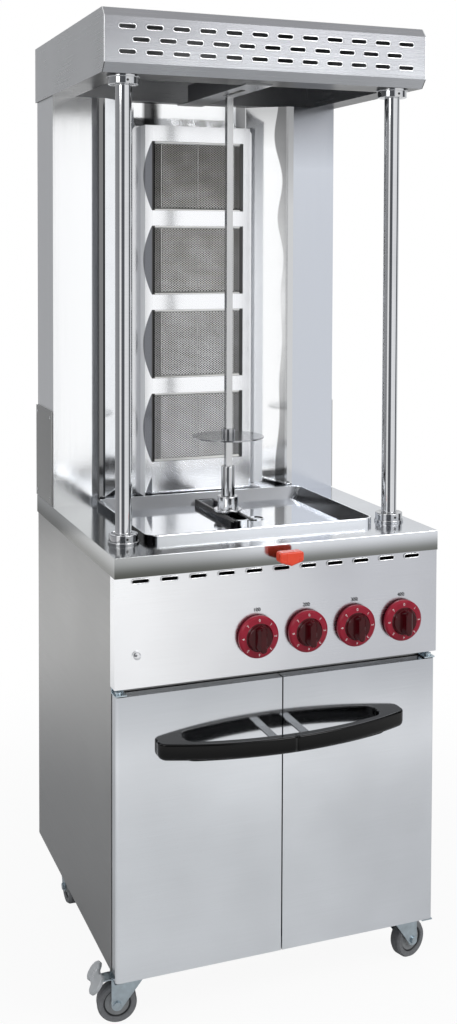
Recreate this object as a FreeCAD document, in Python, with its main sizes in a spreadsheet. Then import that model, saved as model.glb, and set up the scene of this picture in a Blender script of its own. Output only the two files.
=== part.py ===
import FreeCAD, Part
import math
import os
import Sketcher
from FreeCAD import Placement, Rotation, Vector

# Upright doner kebab grill on casters, in millimetres.
# X runs to the right, Y to the back and Z up; the floor is Z = 0 and X = 0 is the middle of the
# cabinet. A sheet steel cabinet with two doors carries a worktop with a drip pan. A housing at the
# back of the worktop holds four gas burners in a polished recess under a vented hood. The spit
# stands on a geared motor that slides to and from the burners.

doc = FreeCAD.newDocument("doner_grill")
sheet = doc.addObject("Spreadsheet::Sheet", "Sizes")


class Size:
    """A length that remembers the formula of sheet cells that it comes from."""

    def __init__(self, value, formula):
        self.value = float(value)
        self.formula = formula

    def _join(self, other, sign, value):
        text = other.formula if isinstance(other, Size) else repr(float(other))
        return Size(value, f"({self.formula} {sign} {text})")

    def __add__(self, other):
        return self._join(other, "+", self.value + number(other))

    def __sub__(self, other):
        return self._join(other, "-", self.value - number(other))

    def __mul__(self, other):
        return self._join(other, "*", self.value * number(other))

    def __truediv__(self, other):
        return self._join(other, "/", self.value / number(other))

    def __neg__(self):
        return Size(-self.value, f"(0 - {self.formula})")

    def __radd__(self, other):
        return self + other

    def __rmul__(self, other):
        return self * other

    def __rsub__(self, other):
        return (-self) + other


def number(size):
    """The plain value of a size."""
    return size.value if isinstance(size, Size) else float(size)


# Driving dimensions: name, value in mm (degrees where the note says so), what it is
SIZES = (
    ("front_y", -265, "front face of the doors"),
    ("cabinet_width", 600, "over the side walls"),
    ("cabinet_depth", 570, "door face to the back edge of the side walls"),
    ("carcass_play", 3, "front edge of the carcass behind the doors"),
    ("carcass_sheet", 1.2, "side walls, back and housing"),
    ("carcass_return", 18, "folded edge of a side wall"),
        ("floor_level", 104, "underside of the cabinet floor and walls"),
    ("floor_sheet", 1.5, "cabinet floor, shelf and rail"),
    ("floor_flange", 15, "turned edge of the floor and the shelf"),
    ("door_bottom", 95, "lower edge of the doors"),
    ("door_top", 576, "upper edge of the doors"),
    ("door_thickness", 22, "depth of the folded door"),
    ("door_sheet", 1.2, "door skin"),
    ("door_return", 14, "folded edge at the back of a door"),
    ("door_margin", 1, "door edge inside the cabinet side"),
    ("door_gap", 2.4, "gap between the two doors"),
    ("door_edge_radius", 6, "rolled outer edge of a door"),
    ("pivot_inset", 7.5, "hinge axis from the door's outer edge"),
    ("pivot_depth", 12, "hinge axis behind the door face"),
    ("pivot_pin", 6, "hinge pin diameter"),
    ("pivot_play", 0.05, "radial clearance of a running pin"),
    ("pivot_reach", 9, "hinge pin in the door"),
    ("pivot_boss", 14, "diameter of the door's pivot boss"),
    ("pivot_boss_length", 14, "length of the door's pivot boss"),
    ("bracket_sheet", 2, "hinge bracket plate"),
    ("bracket_gap", 1, "hinge bracket to door"),
    ("bracket_width", 24, "hinge bracket width"),
    ("shelf_level", 600, "top of the service shelf"),
    ("shelf_depth", 20, "folded edge under the front of the shelf"),
    ("panel_bottom", 589, "lower edge of the control panel"),
    ("panel_top", 780, "upper edge of the control panel, behind the skirt"),
    ("panel_proud", 1.5, "control panel past the cabinet sides"),
    ("panel_depth", 25, "turned edges of the control panel"),
    ("panel_sheet", 1.5, "control panel"),
    ("worktop_top", 809, "top face of the worktop"),
    ("worktop_skirt", 35, "height of the worktop's turned edge"),
    ("worktop_sheet", 1.5, "worktop"),
    ("worktop_overhang", 2, "worktop past the cabinet's faces"),
    ("back_overhang", 3, "worktop past the cabinet back"),
    ("pipe_gap", 60, "worktop opening behind the burners, front to back"),
    ("vent_height", 767, "middle of the panel's vent row"),
    ("vent_pitch", 50.7, "panel vents"),
    ("vent_length", 29, "panel vents"),
    ("vent_width", 6, "panel vents"),
    ("vent_first", -257, "middle of the first panel vent"),
    ("knob_height", 654, "knob axes"),
    ("knob_first", -49, "first knob axis"),
    ("knob_pitch", 92.7, "between knob axes"),
    ("knob_diameter", 73, "knob skirt"),
    ("knob_grip_diameter", 46, "raised middle of a knob"),
    ("knob_skirt_depth", 9, "knob skirt, back to front"),
    ("knob_boss_depth", 15.5, "knob, back to the raised middle's face"),
    ("knob_depth", 29, "knob, back to front of the grip"),
    ("knob_clearance", 4.5, "knob back to panel"),
    ("knob_travel", 3.5, "push of a knob"),
    ("knob_bore", 11.5, "blind bore of a knob"),
    ("knob_bar_root", 22, "grip bar at its root"),
    ("knob_bar_width", 11, "grip bar at its front"),
    ("spindle_diameter", 8, "valve spindle"),
    ("spindle_hole", 14, "panel hole for a spindle"),
    ("valve_diameter", 26, "valve body"),
    ("valve_front", 14, "front of a valve body behind the door face plane"),
    ("valve_length", 40, "valve body"),
    ("spindle_grip", 10, "spindle in its valve"),
    ("manifold_depth", 34, "manifold axis behind the door face"),
    ("manifold_bend", 25, "bend of the manifold tube"),
    ("manifold_end", 41, "manifold past the first valve"),
    ("feed_cross", 90, "bend of the feed tubes behind the door face"),
    ("feed_bend", 14, "bends of the feed tubes"),
    ("feed_sweep", 80, "height over which a feed tube turns to its burner"),
    ("riser_x", 60, "outermost feed tube behind the reflector"),
    ("manifold_diameter", 17, "gas manifold tube"),
    ("manifold_level", 625, "axis of the manifold"),
    ("feed_diameter", 8, "burner feed tubes"),
    ("inlet_diameter", 21, "gas inlet nipple"),
    ("inlet_length", 24, "inlet nipple behind the cabinet back"),
    ("inlet_root", 6, "inlet nipple inside the cabinet back"),
    ("inlet_x", 266, "gas inlet from the middle"),
    ("igniter_x", -263, "igniter button"),
    ("igniter_height", 643, "igniter button"),
    ("igniter_diameter", 12, "igniter button"),
    ("igniter_bezel", 17, "collar round the igniter button"),
    ("igniter_travel", 5, "igniter button stands out by this"),
    ("igniter_stem", 14, "igniter button behind the panel"),
    ("handle_reach", 65, "door handles forward of the doors"),
    ("handle_half", 229, "half the length of the handle pair"),
    ("handle_end", 18, "handle forward of the door at its blunt end"),
    ("handle_height", 30, "handle rim"),
    ("handle_level", 481, "middle of the handles"),
    ("handle_rim", 18, "rim thickness at the seam"),
    ("handle_inner_radius", 640, "hollow side of the handle rim"),
    ("handle_solid", 48, "solid outer end of a handle"),
    ("handle_nose", 12, "nose radius"),
    ("handle_edge", 5, "rounding of the lower front edge"),
    ("handle_hollow", 12, "corner of the hollow side"),
    ("strut_sheet", 2.5, "handle strut"),
    ("strut_drop", 1, "strut below the handle's top"),
    ("strut_play", 2, "strut end to the back of the rim"),
    ("strut_width", 16, "handle strut"),
    ("strut_left", -37, "strut of the left handle"),
    ("strut_right", 21, "strut of the right handle"),
    ("pan_width", 440, "drip pan over the rim"),
    ("pan_front", 82, "front of the pan rim behind the door face"),
    ("pan_depth", 343, "drip pan over the rim"),
    ("pan_rim", 12, "rim above the worktop"),
    ("pan_lip", 4, "width of the rolled rim"),
    ("pan_floor", 800, "top of the pan floor"),
    ("pan_sheet", 1.5, "pan floor"),
    ("pan_seat", 7, "rim resting on the worktop"),
    ("pan_radius", 22, "pan corners"),
    ("pan_slope", 25, "run of the sloped inner walls"),
    ("pan_play", 1.5, "pan body to worktop cut-out"),
    ("slot_front", 185, "front end of the spit slot's raised edge"),
    ("slot_back", 395, "back end of the spit slot's raised edge"),
    ("slot_width", 28, "spit slot"),
    ("slot_wall", 6, "raised edge round the spit slot"),
    ("slot_rise", 11, "raised edge above the pan floor"),
    ("drain_diameter", 33, "drain ring"),
    ("drain_x", 47, "drain ring"),
    ("drain_y", 242, "drain ring behind the door face"),
    ("spit_y", 267, "spit axis behind the door face"),
    ("spit_square", 12, "spit rod across its flats"),
    ("spit_top", 1602, "top of the square rod"),
    ("spit_pin", 8, "round pin on top of the spit"),
    ("spit_pin_length", 21, "round pin on top of the spit"),
    ("disc_diameter", 136, "meat disc"),
    ("disc_level", 955, "underside of the meat disc"),
    ("disc_sheet", 2.5, "meat disc"),
    ("disc_hub", 26, "hub of the meat disc"),
    ("socket_diameter", 26, "spit socket"),
    ("socket_top", 900, "top of the spit socket"),
    ("socket_grip", 40, "spit rod in its socket"),
    ("hub_height", 14, "hub of the meat disc"),
    ("collar_top", 843, "top of the bearing collar"),
    ("collar_diameter", 40, "bearing collar"),
    ("flange_level", 814, "underside of the collar's flange"),
    ("flange_diameter", 54, "collar flange"),
    ("flange_sheet", 4, "collar flange"),
    ("neck_diameter", 17.5, "collar neck in the pan slot"),
    ("shaft_diameter", 12, "drive shaft"),
    ("carriage_level", 781, "underside of the spit carriage"),
    ("carriage_sheet", 5, "spit carriage plate"),
    ("carriage_width", 96, "spit carriage"),
    ("carriage_length", 84, "spit carriage"),
    ("slide_play", 0.3, "carriage to rails, bearing to channel"),
    ("slide_out", 65, "spit travel forward"),
    ("slide_in", 16, "spit travel back"),
    ("rail_sheet", 3, "carriage rails"),
    ("rail_inner", 34, "inner edge of a carriage rail from the middle"),
    ("rail_leg", 18, "legs of a carriage rail"),
    ("rail_front", 30, "front end of the rails behind the door face"),
    ("rail_back", 492, "back end of the rails behind the door face"),
    ("shaft_engage", 16, "drive shaft in the gearbox"),
    ("motor_size", 56, "gearbox of the spit motor"),
    ("motor_height", 46, "gearbox of the spit motor"),
    ("motor_can", 44, "motor can diameter"),
    ("motor_can_height", 52, "motor can"),
    ("rod_diameter", 8, "pull rod"),
    ("rod_level", 790, "pull rod axis"),
    ("pull_reach", 38, "front of the pull handle from the door face"),
    ("pull_depth", 18, "pull handle, front to back"),
    ("pull_width", 44, "pull handle"),
    ("pull_height", 24, "pull handle"),
    ("housing_front", 436, "front of the housing behind the door face"),
    ("recess_depth", 57, "burner recess behind the housing front"),
    ("recess_half", 196, "half the mouth of the recess"),
    ("recess_back_half", 125, "half the back of the recess"),
    ("reflector_flange", 12, "flange of the reflector on the housing"),
    ("cover_height", 184, "side access cover"),
    ("cover_proud", 3.5, "side access cover stands out"),
    ("cover_front", 440, "front edge of the cover behind the door face"),
    ("column_half", 112, "half the width of the burner column"),
    ("column_front", 440, "front of the burner column"),
    ("column_bottom", 816, "burner column"),
    ("column_top", 1560, "burner column"),
    ("column_lip", 17, "stiffening lip along each side of the burner column"),
    ("column_lip_back", 32, "lip behind the column's front"),
    ("burner_width", 196, "burner window"),
    ("burner_height", 138, "burner window"),
    ("burner_pitch", 168.5, "between burners"),
    ("burner_first", 954, "middle of the lowest burner"),
    ("mesh_width", 181, "visible burner mesh"),
    ("mesh_height", 125, "visible burner mesh"),
    ("plaque_width", 92, "ceramic plaque"),
    ("plaque_height", 132, "ceramic plaque"),
    ("plaque_depth", 12, "ceramic plaque"),
    ("plaque_gap", 0.6, "plaque to the middle of the burner"),
    ("mesh_inset", 1.7, "mesh frame behind the column's face"),
    ("mesh_frame", 4, "depth of the mesh frame"),
    ("mesh_sheet", 0.8, "burner mesh"),
    ("mesh_bevel", 4, "inner bevel of the mesh frame"),
    ("window_play", 0.5, "mesh frame to window"),
    ("gas_box_depth", 26, "gas box behind the plaques"),
    ("ear_height", 60, "ears of the gas box"),
    ("tail_diameter", 30, "mixing tube"),
    ("burner_tail_gap", 12, "mixing tube behind the reflector's face"),
    ("hood_width", 606, "hood"),
    ("hood_bottom", 1608.5, "underside of the hood"),
    ("hood_top", 1716.5, "top of the hood"),
    ("hood_front", 57, "front face of the hood behind the door face"),
    ("hood_back", 576, "back of the hood behind the door face"),
    ("hood_bevel", 13, "depth of the hood's bevels"),
    ("hood_bevel_rise", 15.5, "height of the hood's bevels"),
    ("hood_sheet", 1.5, "hood"),
    ("hood_rim_side", 48, "hood underside, side rims"),
    ("hood_rim_front", 145, "inner edge of the front rim behind the door face"),
    ("hood_rim_back", 470, "inner edge of the back rim behind the door face"),
    ("slot_row", 1663.5, "middle row of hood slots"),
    ("slot_row_pitch", 21, "between rows of hood slots"),
    ("hood_slot_pitch", 47.7, "between hood slots"),
    ("hood_slot_length", 29, "hood slot"),
    ("hood_slot_width", 7, "hood slot"),
    ("channel_half", 26, "half the width of the hood channel"),
    ("channel_sheet", 2.5, "hood channel floor"),
    ("channel_rise", 32, "walls of the hood channel"),
    ("channel_front", 118, "front end of the hood channel"),
    ("channel_back", 492, "back end of the hood channel"),
    ("channel_wall", 1.5, "walls of the hood channel"),
    ("channel_wall_back", 430, "back end of the channel's walls"),
    ("bearing_length", 40, "upper bearing, front to back"),
    ("bearing_height", 18, "upper bearing"),
    ("post_x", 257, "posts from the middle"),
    ("post_y", 100, "posts behind the door face"),
    ("post_diameter", 28, "posts"),
    ("post_wall", 1.5, "posts"),
    ("post_foot", 54, "collar at the foot of a post"),
    ("post_foot_height", 17, "collar at the foot of a post"),
    ("post_head", 57, "collar at the head of a post"),
    ("post_head_height", 16, "collar at the head of a post"),
    ("collar_ring", 4, "flange ring of a post collar"),
    ("collar_step", 2, "step in a post collar"),
    ("collar_bevel", 1, "bevels of a post collar"),
    ("caster_x", 257, "caster swivels from the middle"),
    ("caster_inset", 27, "front swivel axes behind the carcass's front edge"),
    ("caster_rear_y", 493, "rear swivels behind the door face"),
    ("caster_plate", 60, "caster top plate"),
    ("caster_plate_sheet", 2.5, "caster top plate"),
    ("caster_corner", 5, "caster top plate"),
    ("caster_race", 44, "swivel race"),
    ("caster_race_height", 9.6, "swivel race"),
    ("kingpin_diameter", 10, "swivel pin"),
    ("fork_trail", 25, "wheel axis behind the swivel axis"),
    ("fork_width", 31, "over the fork legs"),
    ("fork_sheet", 2.5, "fork legs"),
    ("fork_crown", 84, "underside of the fork crown"),
    ("wheel_radius", 34, "caster wheel"),
    ("wheel_width", 24, "caster wheel"),
    ("wheel_axle", 8, "wheel axle"),
    ("tyre_height", 10, "tyre"),
    ("hub_diameter", 22, "wheel hub"),
    ("fork_eye", 10, "fork leg round the axle"),
    ("axle_head", 13, "axle bolt head"),
    ("axle_head_sheet", 4, "axle bolt head"),
    ("trail_fl", 169.9, "trail direction of the front left caster, degrees"),
    ("trail_fr", 17, "trail direction of the front right caster, degrees"),
    ("trail_rl", -90, "trail direction of the rear left caster, degrees"),
    ("trail_rr", -110, "trail direction of the rear right caster, degrees"),
    ("brake_pin", 5, "brake lever pin"),
    ("brake_pivot", 12, "brake lever pin behind the swivel axis"),
    ("brake_level", 77, "brake lever pin"),
    ("brake_side_play", 0.5, "brake strap to fork leg"),
    ("strap_sheet", 2, "brake strap"),
    ("pad_sheet", 6, "brake pad"),
    ("pad_tilt", 50, "slope of the brake pad, degrees"),
    ("pad_trail", 59, "middle of the brake pad behind the swivel axis"),
    ("pad_level", 75, "middle of the brake pad"),
    ("pad_lobe", 17, "radius of a brake pad lobe"),
    ("pad_spread", 21, "lobe middle to pad middle"),
    ("hair", 0.2, "clearance between pieces that lie close"),
)


def root(size):
    """The square root of a size."""
    return Size(math.sqrt(size.value), f"sqrt({size.formula})")


class Named:
    """Holds the driving dimensions as attributes."""


S = Named()
for line, (name, value, note) in enumerate(SIZES, start=1):
    sheet.set(f"A{line}", name)
    sheet.set(f"B{line}", str(value))
    sheet.set(f"C{line}", note)
    sheet.setAlias(f"B{line}", name)
    setattr(S, name, Size(value, f"Sizes.{name}"))
doc.recompute()

NODES = []
HALF_TURN = 180.0
QUARTER_TURN = 90.0
KNOB_COUNT = 4
BURNER_COUNT = 4
VENT_COUNT = 11
LONG_ROW = 12
SHORT_ROW = 11


def deep(distance):
    """Y of a place that lies this far behind the door face."""
    return S.front_y + distance


def bind(thing, prop, size):
    """Sets a property, by formula where the size comes from the sheet."""
    if isinstance(size, Size):
        thing.setExpression(prop, size.formula)
    else:
        setattr(thing, prop, size)


def node(thing):
    """Marks a finished sub-part; its label names its file."""
    NODES.append(thing)
    return thing


def new_body(label):
    body = doc.addObject("PartDesign::Body", label)
    body.Label = label
    return body


def place(body, x, y, z, turn=0.0):
    """Puts a body at a point, turned about Z."""
    body.Placement = Placement(Vector(0, 0, 0), Rotation(Vector(0, 0, 1), turn))
    for axis, size in (("x", x), ("y", y), ("z", z)):
        if isinstance(size, Size):
            body.setExpression(f"Placement.Base.{axis}", size.formula)
        elif size:
            body.setExpression(f"Placement.Base.{axis}", repr(float(size)))
    return body


ROLE = {"top": "XY_Plane", "front": "XZ_Plane", "side": "YZ_Plane"}


def new_sketch(body, view, at):
    """A sketch seen from the top (X, Y), the front (X, Z) or the side (Y, Z), at a height, Y or X."""
    sketch = body.newObject("Sketcher::SketchObject", body.Name + "_sketch")
    plane = [f for f in body.Origin.OriginFeatures if f.Role == ROLE[view]][0]
    sketch.AttachmentSupport = [(plane, "")]
    sketch.MapMode = "FlatFace"
    level = -at if view == "front" else at
    sketch.AttachmentOffset = Placement(Vector(0, 0, number(level)), Rotation())
    if isinstance(level, Size):
        sketch.setExpression("AttachmentOffset.Base.z", level.formula)
    return sketch


def fix(sketch, kind, *refs):
    """Adds a measured constraint whose value may be a formula."""
    size = refs[-1]
    index = sketch.addConstraint(Sketcher.Constraint(kind, *refs[:-1], number(size)))
    if isinstance(size, Size):
        label = f"c{index}"
        sketch.renameConstraint(index, label)
        sketch.setExpression(f"Constraints.{label}", size.formula)


def fix_point(sketch, geometry, end, x, y):
    fix(sketch, "DistanceX", -1, 1, geometry, end, x)
    fix(sketch, "DistanceY", -1, 1, geometry, end, y)


def arc_between(start, end, radius, turn):
    """The short arc from one point to another; turn is 1 where it bends left, -1 where right."""
    chord = end - start
    half = chord.Length / 2
    side = Vector(-chord.y, chord.x, 0).normalize() * turn
    centre = (start + end) * 0.5 + side * math.sqrt(radius * radius - half * half)
    low, high = (start, end) if turn > 0 else (end, start)
    first = math.atan2(low.y - centre.y, low.x - centre.x)
    last = math.atan2(high.y - centre.y, high.x - centre.x)
    if last < first:
        last += 2 * math.pi
    return Part.ArcOfCircle(Part.Circle(centre, Vector(0, 0, 1), radius), first, last)


def draw_outline(sketch, corners, arcs=None):
    """Adds a closed outline through the given corners, with straight edges or arcs.

    arcs gives, for the number of a corner, the radius and the turn of the arc that leaves it.
    """
    arcs = arcs or {}
    points = [Vector(number(x), number(y), 0) for x, y in corners]
    first = sketch.GeometryCount
    count = len(points)
    ends = []
    for i, point in enumerate(points):
        after = points[(i + 1) % count]
        if i in arcs:
            radius, turn = arcs[i]
            sketch.addGeometry(arc_between(point, after, number(radius), turn), False)
            ends.append((1, 2) if turn > 0 else (2, 1))
        else:
            sketch.addGeometry(Part.LineSegment(point, after), False)
            ends.append((1, 2))
    for i in range(count):
        j = (i + 1) % count
        meet = Sketcher.Constraint("Coincident", first + i, ends[i][1], first + j, ends[j][0])
        sketch.addConstraint(meet)
    for i, (x, y) in enumerate(corners):
        fix_point(sketch, first + i, ends[i][0], x, y)
    for i, (radius, turn) in arcs.items():
        fix(sketch, "Radius", first + i, radius)


def draw_rectangle(sketch, x_low, x_high, y_low, y_high):
    draw_outline(sketch, ((x_low, y_low), (x_high, y_low), (x_high, y_high), (x_low, y_high)))


def draw_round_rectangle(sketch, x_low, x_high, y_low, y_high, radius):
    corners = (
        (x_low + radius, y_low), (x_high - radius, y_low),
        (x_high, y_low + radius), (x_high, y_high - radius),
        (x_high - radius, y_high), (x_low + radius, y_high),
        (x_low, y_high - radius), (x_low, y_low + radius),
    )
    draw_outline(sketch, corners, {i: (radius, 1) for i in (1, 3, 5, 7)})


def draw_circle(sketch, x, y, diameter):
    index = sketch.GeometryCount
    centre = Vector(number(x), number(y), 0)
    sketch.addGeometry(Part.Circle(centre, Vector(0, 0, 1), number(diameter) / 2), False)
    fix_point(sketch, index, 3, x, y)
    fix(sketch, "Diameter", index, diameter)


def draw_slot(sketch, start, end, width, upright=False):
    """Adds a round-ended slot between two centres on a line along X, or along Y if upright."""
    first = sketch.GeometryCount
    a = Vector(number(start[0]), number(start[1]), 0)
    b = Vector(number(end[0]), number(end[1]), 0)
    r = number(width) / 2
    side = Vector(-r, 0, 0) if upright else Vector(0, r, 0)
    base = math.radians(QUARTER_TURN) if upright else 0.0
    quarter = math.pi / 2
    axis = Vector(0, 0, 1)
    sketch.addGeometry(Part.LineSegment(a + side, b + side), False)
    round_end = Part.ArcOfCircle(Part.Circle(b, axis, r), base - quarter, base + quarter)
    sketch.addGeometry(round_end, False)
    sketch.addGeometry(Part.LineSegment(b - side, a - side), False)
    round_end = Part.ArcOfCircle(Part.Circle(a, axis, r), base + quarter, base + 3 * quarter)
    sketch.addGeometry(round_end, False)
    joins = ((0, 2, 1, 2), (1, 1, 2, 1), (2, 2, 3, 2), (3, 1, 0, 1))
    for one, one_end, two, two_end in joins:
        tangent = Sketcher.Constraint("Tangent", first + one, one_end, first + two, two_end)
        sketch.addConstraint(tangent)
    sketch.addConstraint(Sketcher.Constraint("Equal", first + 1, first + 3))
    fix_point(sketch, first + 1, 3, *end)
    fix_point(sketch, first + 3, 3, *start)
    fix(sketch, "Diameter", first + 1, width)


def pad(body, sketch, length):
    """Pads a sketch towards +Z, +X or, for a front view, towards -Y."""
    feature = body.newObject("PartDesign::Pad", body.Name + "_pad")
    feature.Profile = sketch
    bind(feature, "Length", length)
    sketch.Visibility = False
    return feature


def pocket(body, sketch, depth):
    """Cuts a sketch in the direction in which pad adds."""
    feature = body.newObject("PartDesign::Pocket", body.Name + "_pocket")
    feature.Profile = sketch
    feature.Reversed = True
    bind(feature, "Length", depth)
    return feature


def repeat(body, feature, sketch, axis, length, count):
    """Repeats a feature along a sketch axis, over a total length."""
    pattern = body.newObject("PartDesign::LinearPattern", body.Name + "_row")
    pattern.Originals = [feature]
    pattern.Direction = (sketch, [axis])
    bind(pattern, "Length", length)
    pattern.Occurrences = count
    body.Tip = pattern
    return pattern


def turned(body, sketch, axis="V_Axis"):
    """Revolves a sketch about one of its axes."""
    feature = body.newObject("PartDesign::Revolution", body.Name + "_turn")
    feature.Profile = sketch
    feature.ReferenceAxis = (sketch, [axis])
    feature.Angle = 360.0
    return feature


def loft(body, lower, upper, cut=False):
    """Joins two sketches of like outline by straight walls, or cuts the form between them."""
    kind = "PartDesign::SubtractiveLoft" if cut else "PartDesign::AdditiveLoft"
    feature = body.newObject(kind, body.Name + "_loft")
    feature.Profile = lower
    feature.Sections = [upper]
    feature.Ruled = True
    return feature


def block(body, x_low, x_high, y_low, y_high, z_low, z_high):
    """Pads a plain block between six places."""
    sketch = new_sketch(body, "top", z_low)
    draw_rectangle(sketch, x_low, x_high, y_low, y_high)
    return pad(body, sketch, z_high - z_low)


def hollow(body, x_low, x_high, y_low, y_high, z_low, z_high):
    """Cuts a plain block between six places."""
    sketch = new_sketch(body, "top", z_low)
    draw_rectangle(sketch, x_low, x_high, y_low, y_high)
    return pocket(body, sketch, z_high - z_low)


def bore(body, view, at, x, y, diameter, depth):
    """Cuts a round hole that starts at a place and runs as pocket does."""
    sketch = new_sketch(body, view, at)
    draw_circle(sketch, x, y, diameter)
    return pocket(body, sketch, depth)


def smooth(body, radius, wanted, kind="Fillet"):
    """Rounds or chamfers the edges of the body that the test accepts."""
    doc.recompute()
    base = body.Tip
    names = []
    for i, edge in enumerate(base.Shape.Edges, start=1):
        middle = edge.valueAt((edge.FirstParameter + edge.LastParameter) / 2)
        if wanted(edge, middle):
            names.append(f"Edge{i}")
    feature = body.newObject("PartDesign::" + kind, body.Name + "_edge")
    feature.Base = (base, names)
    bind(feature, "Radius" if kind == "Fillet" else "Size", radius)
    return feature


def runs_along(edge, direction):
    """Whether a straight edge runs along a direction."""
    if len(edge.Vertexes) != 2 or edge.Curve.TypeId != "Part::GeomLine":
        return False
    way = edge.Vertexes[1].Point - edge.Vertexes[0].Point
    return way.normalize().cross(direction).Length < 1e-6


def group(label, members):
    """Like pieces, each a solid of its own, kept as one sub-part."""
    compound = doc.addObject("Part::Compound", label)
    compound.Label = label
    compound.Links = members
    return node(compound)


UP = Vector(0, 0, 1)
ALONG_X = Vector(1, 0, 0)
ALONG_Y = Vector(0, 1, 0)

# Places that several pieces share
HALF = S.cabinet_width / 2
INNER_HALF = HALF - S.carcass_sheet
CARCASS_FRONT = deep(S.door_thickness + S.carcass_play)
CARCASS_BACK = deep(S.cabinet_depth)
CASTER_FRONT = S.door_thickness + S.carcass_play + S.caster_inset
WORKTOP_UNDER = S.worktop_top - S.worktop_sheet
SKIRT_BOTTOM = S.worktop_top - S.worktop_skirt
TOP_HALF = HALF + S.worktop_overhang
PAN_HALF = S.pan_width / 2
PAN_FRONT = deep(S.pan_front)
PAN_BACK = deep(S.pan_front + S.pan_depth)
SPIT_Y = deep(S.spit_y)
HOUSING_FRONT = deep(S.housing_front)
RECESS_BACK = deep(S.housing_front + S.recess_depth)
BEARING_BORE = S.shaft_diameter + S.pivot_play * 2
SQUARE_BORE = S.spit_square + S.hair
SIDES = ((-1, "left"), (1, "right"))


def knob_x(index):
    return S.knob_first + S.knob_pitch * index


def burner_z(index):
    return S.burner_first + S.burner_pitch * index


# Cabinet: side walls folded at both edges, a back, a floor tray and the shelf over the doors
def cabinet_side(side, name):
    body = new_body(f"cabinet_{name}_side")
    sketch = new_sketch(body, "top", S.floor_level)
    outer = HALF * side
    inner = INNER_HALF * side
    edge = (HALF - S.carcass_return) * side
    front_in = CARCASS_FRONT + S.carcass_sheet
    back_in = CARCASS_BACK - S.carcass_sheet
    draw_outline(sketch, (
        (outer, CARCASS_FRONT), (edge, CARCASS_FRONT), (edge, front_in), (inner, front_in),
        (inner, back_in), (edge, back_in), (edge, CARCASS_BACK), (outer, CARCASS_BACK),
    ))
    pad(body, sketch, WORKTOP_UNDER - S.floor_level)
    node(body)


for side, name in SIDES:
    cabinet_side(side, name)

INLET_HOLE = S.inlet_diameter + 5

cabinet_back = new_body("cabinet_back")
block(cabinet_back, -HALF + S.hair, HALF - S.hair, CARCASS_BACK,
      CARCASS_BACK + S.carcass_sheet, S.floor_level, WORKTOP_UNDER)
bore(cabinet_back, "front", CARCASS_BACK + S.carcass_sheet * 2, S.inlet_x, S.manifold_level,
     INLET_HOLE, S.carcass_sheet * 3)
node(cabinet_back)

cabinet_floor = new_body("cabinet_floor")
tray = (-INNER_HALF, INNER_HALF, CARCASS_FRONT + S.carcass_sheet, CARCASS_BACK - S.carcass_sheet)
block(cabinet_floor, *tray, S.floor_level, S.floor_level + S.floor_flange)
hollow(cabinet_floor, tray[0] + S.floor_sheet, tray[1] - S.floor_sheet, tray[2] + S.floor_sheet,
       tray[3] - S.floor_sheet, S.floor_level + S.floor_sheet, S.floor_level + S.floor_flange)
node(cabinet_floor)

# The shelf's front edge is folded down and back, as the header over the doors
service_shelf = new_body("service_shelf")
sketch = new_sketch(service_shelf, "side", -INNER_HALF)
header_back = tray[2] + S.floor_sheet
draw_outline(sketch, (
    (tray[2], S.door_top), (tray[2] + S.shelf_depth, S.door_top),
    (tray[2] + S.shelf_depth, S.door_top + S.floor_sheet), (header_back, S.door_top + S.floor_sheet),
    (header_back, S.shelf_level - S.floor_sheet), (tray[3], S.shelf_level - S.floor_sheet),
    (tray[3], S.shelf_level), (tray[2], S.shelf_level),
))
pad(service_shelf, sketch, INNER_HALF * 2)
node(service_shelf)

# Control panel: a folded tray with a narrower upper edge that tucks behind the worktop's skirt
PANEL_HALF = HALF + S.panel_proud
PANEL_SHOULDER = SKIRT_BOTTOM - S.hair * 2
PANEL_BACK = deep(S.panel_depth)

control_panel = new_body("control_panel")
block(control_panel, -PANEL_HALF, PANEL_HALF, deep(0), PANEL_BACK, S.panel_bottom, PANEL_SHOULDER)
block(control_panel, -HALF, HALF, deep(0), PANEL_BACK, PANEL_SHOULDER, S.panel_top)
hollow(control_panel, -PANEL_HALF + S.panel_sheet, PANEL_HALF - S.panel_sheet,
       deep(S.panel_sheet), PANEL_BACK, S.panel_bottom + S.panel_sheet,
       PANEL_SHOULDER - S.panel_sheet)
hollow(control_panel, -HALF + S.panel_sheet, HALF - S.panel_sheet, deep(S.panel_sheet),
       PANEL_BACK, PANEL_SHOULDER - S.panel_sheet, S.panel_top - S.panel_sheet)
sketch = new_sketch(control_panel, "front", deep(0))
draw_circle(sketch, S.igniter_x, S.igniter_height, S.igniter_bezel)
pad(control_panel, sketch, S.panel_sheet)
sketch = new_sketch(control_panel, "front", deep(S.panel_sheet * 2))
draw_circle(sketch, S.igniter_x, S.igniter_height, S.igniter_diameter + S.slide_play * 2)
for index in range(KNOB_COUNT):
    draw_circle(sketch, knob_x(index), S.knob_height, S.spindle_hole)
pocket(control_panel, sketch, S.panel_sheet * 4)


def slot_row(body, at, depth, first, height, pitch, length, width, count):
    """Cuts a row of round-ended slots through a front sheet, from behind."""
    sketch = new_sketch(body, "front", at)
    reach = (length - width) / 2
    draw_slot(sketch, (first - reach, height), (first + reach, height), width)
    cut = pocket(body, sketch, depth)
    repeat(body, cut, sketch, "H_Axis", pitch * (count - 1), count)


slot_row(control_panel, deep(S.panel_sheet * 2), S.panel_sheet * 3, S.vent_first, S.vent_height,
         S.vent_pitch, S.vent_length, S.vent_width, VENT_COUNT)
node(control_panel)

# Worktop: one folded tray, cut out for the pan, for the gas tubes and for the pull rod
PAN_CUT = S.pan_seat - S.pan_play
PIPE_HALF = S.column_half - S.worktop_overhang
PIPE_FRONT = RECESS_BACK + S.burner_tail_gap
PIPE_BACK = PIPE_FRONT + S.pipe_gap

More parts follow.
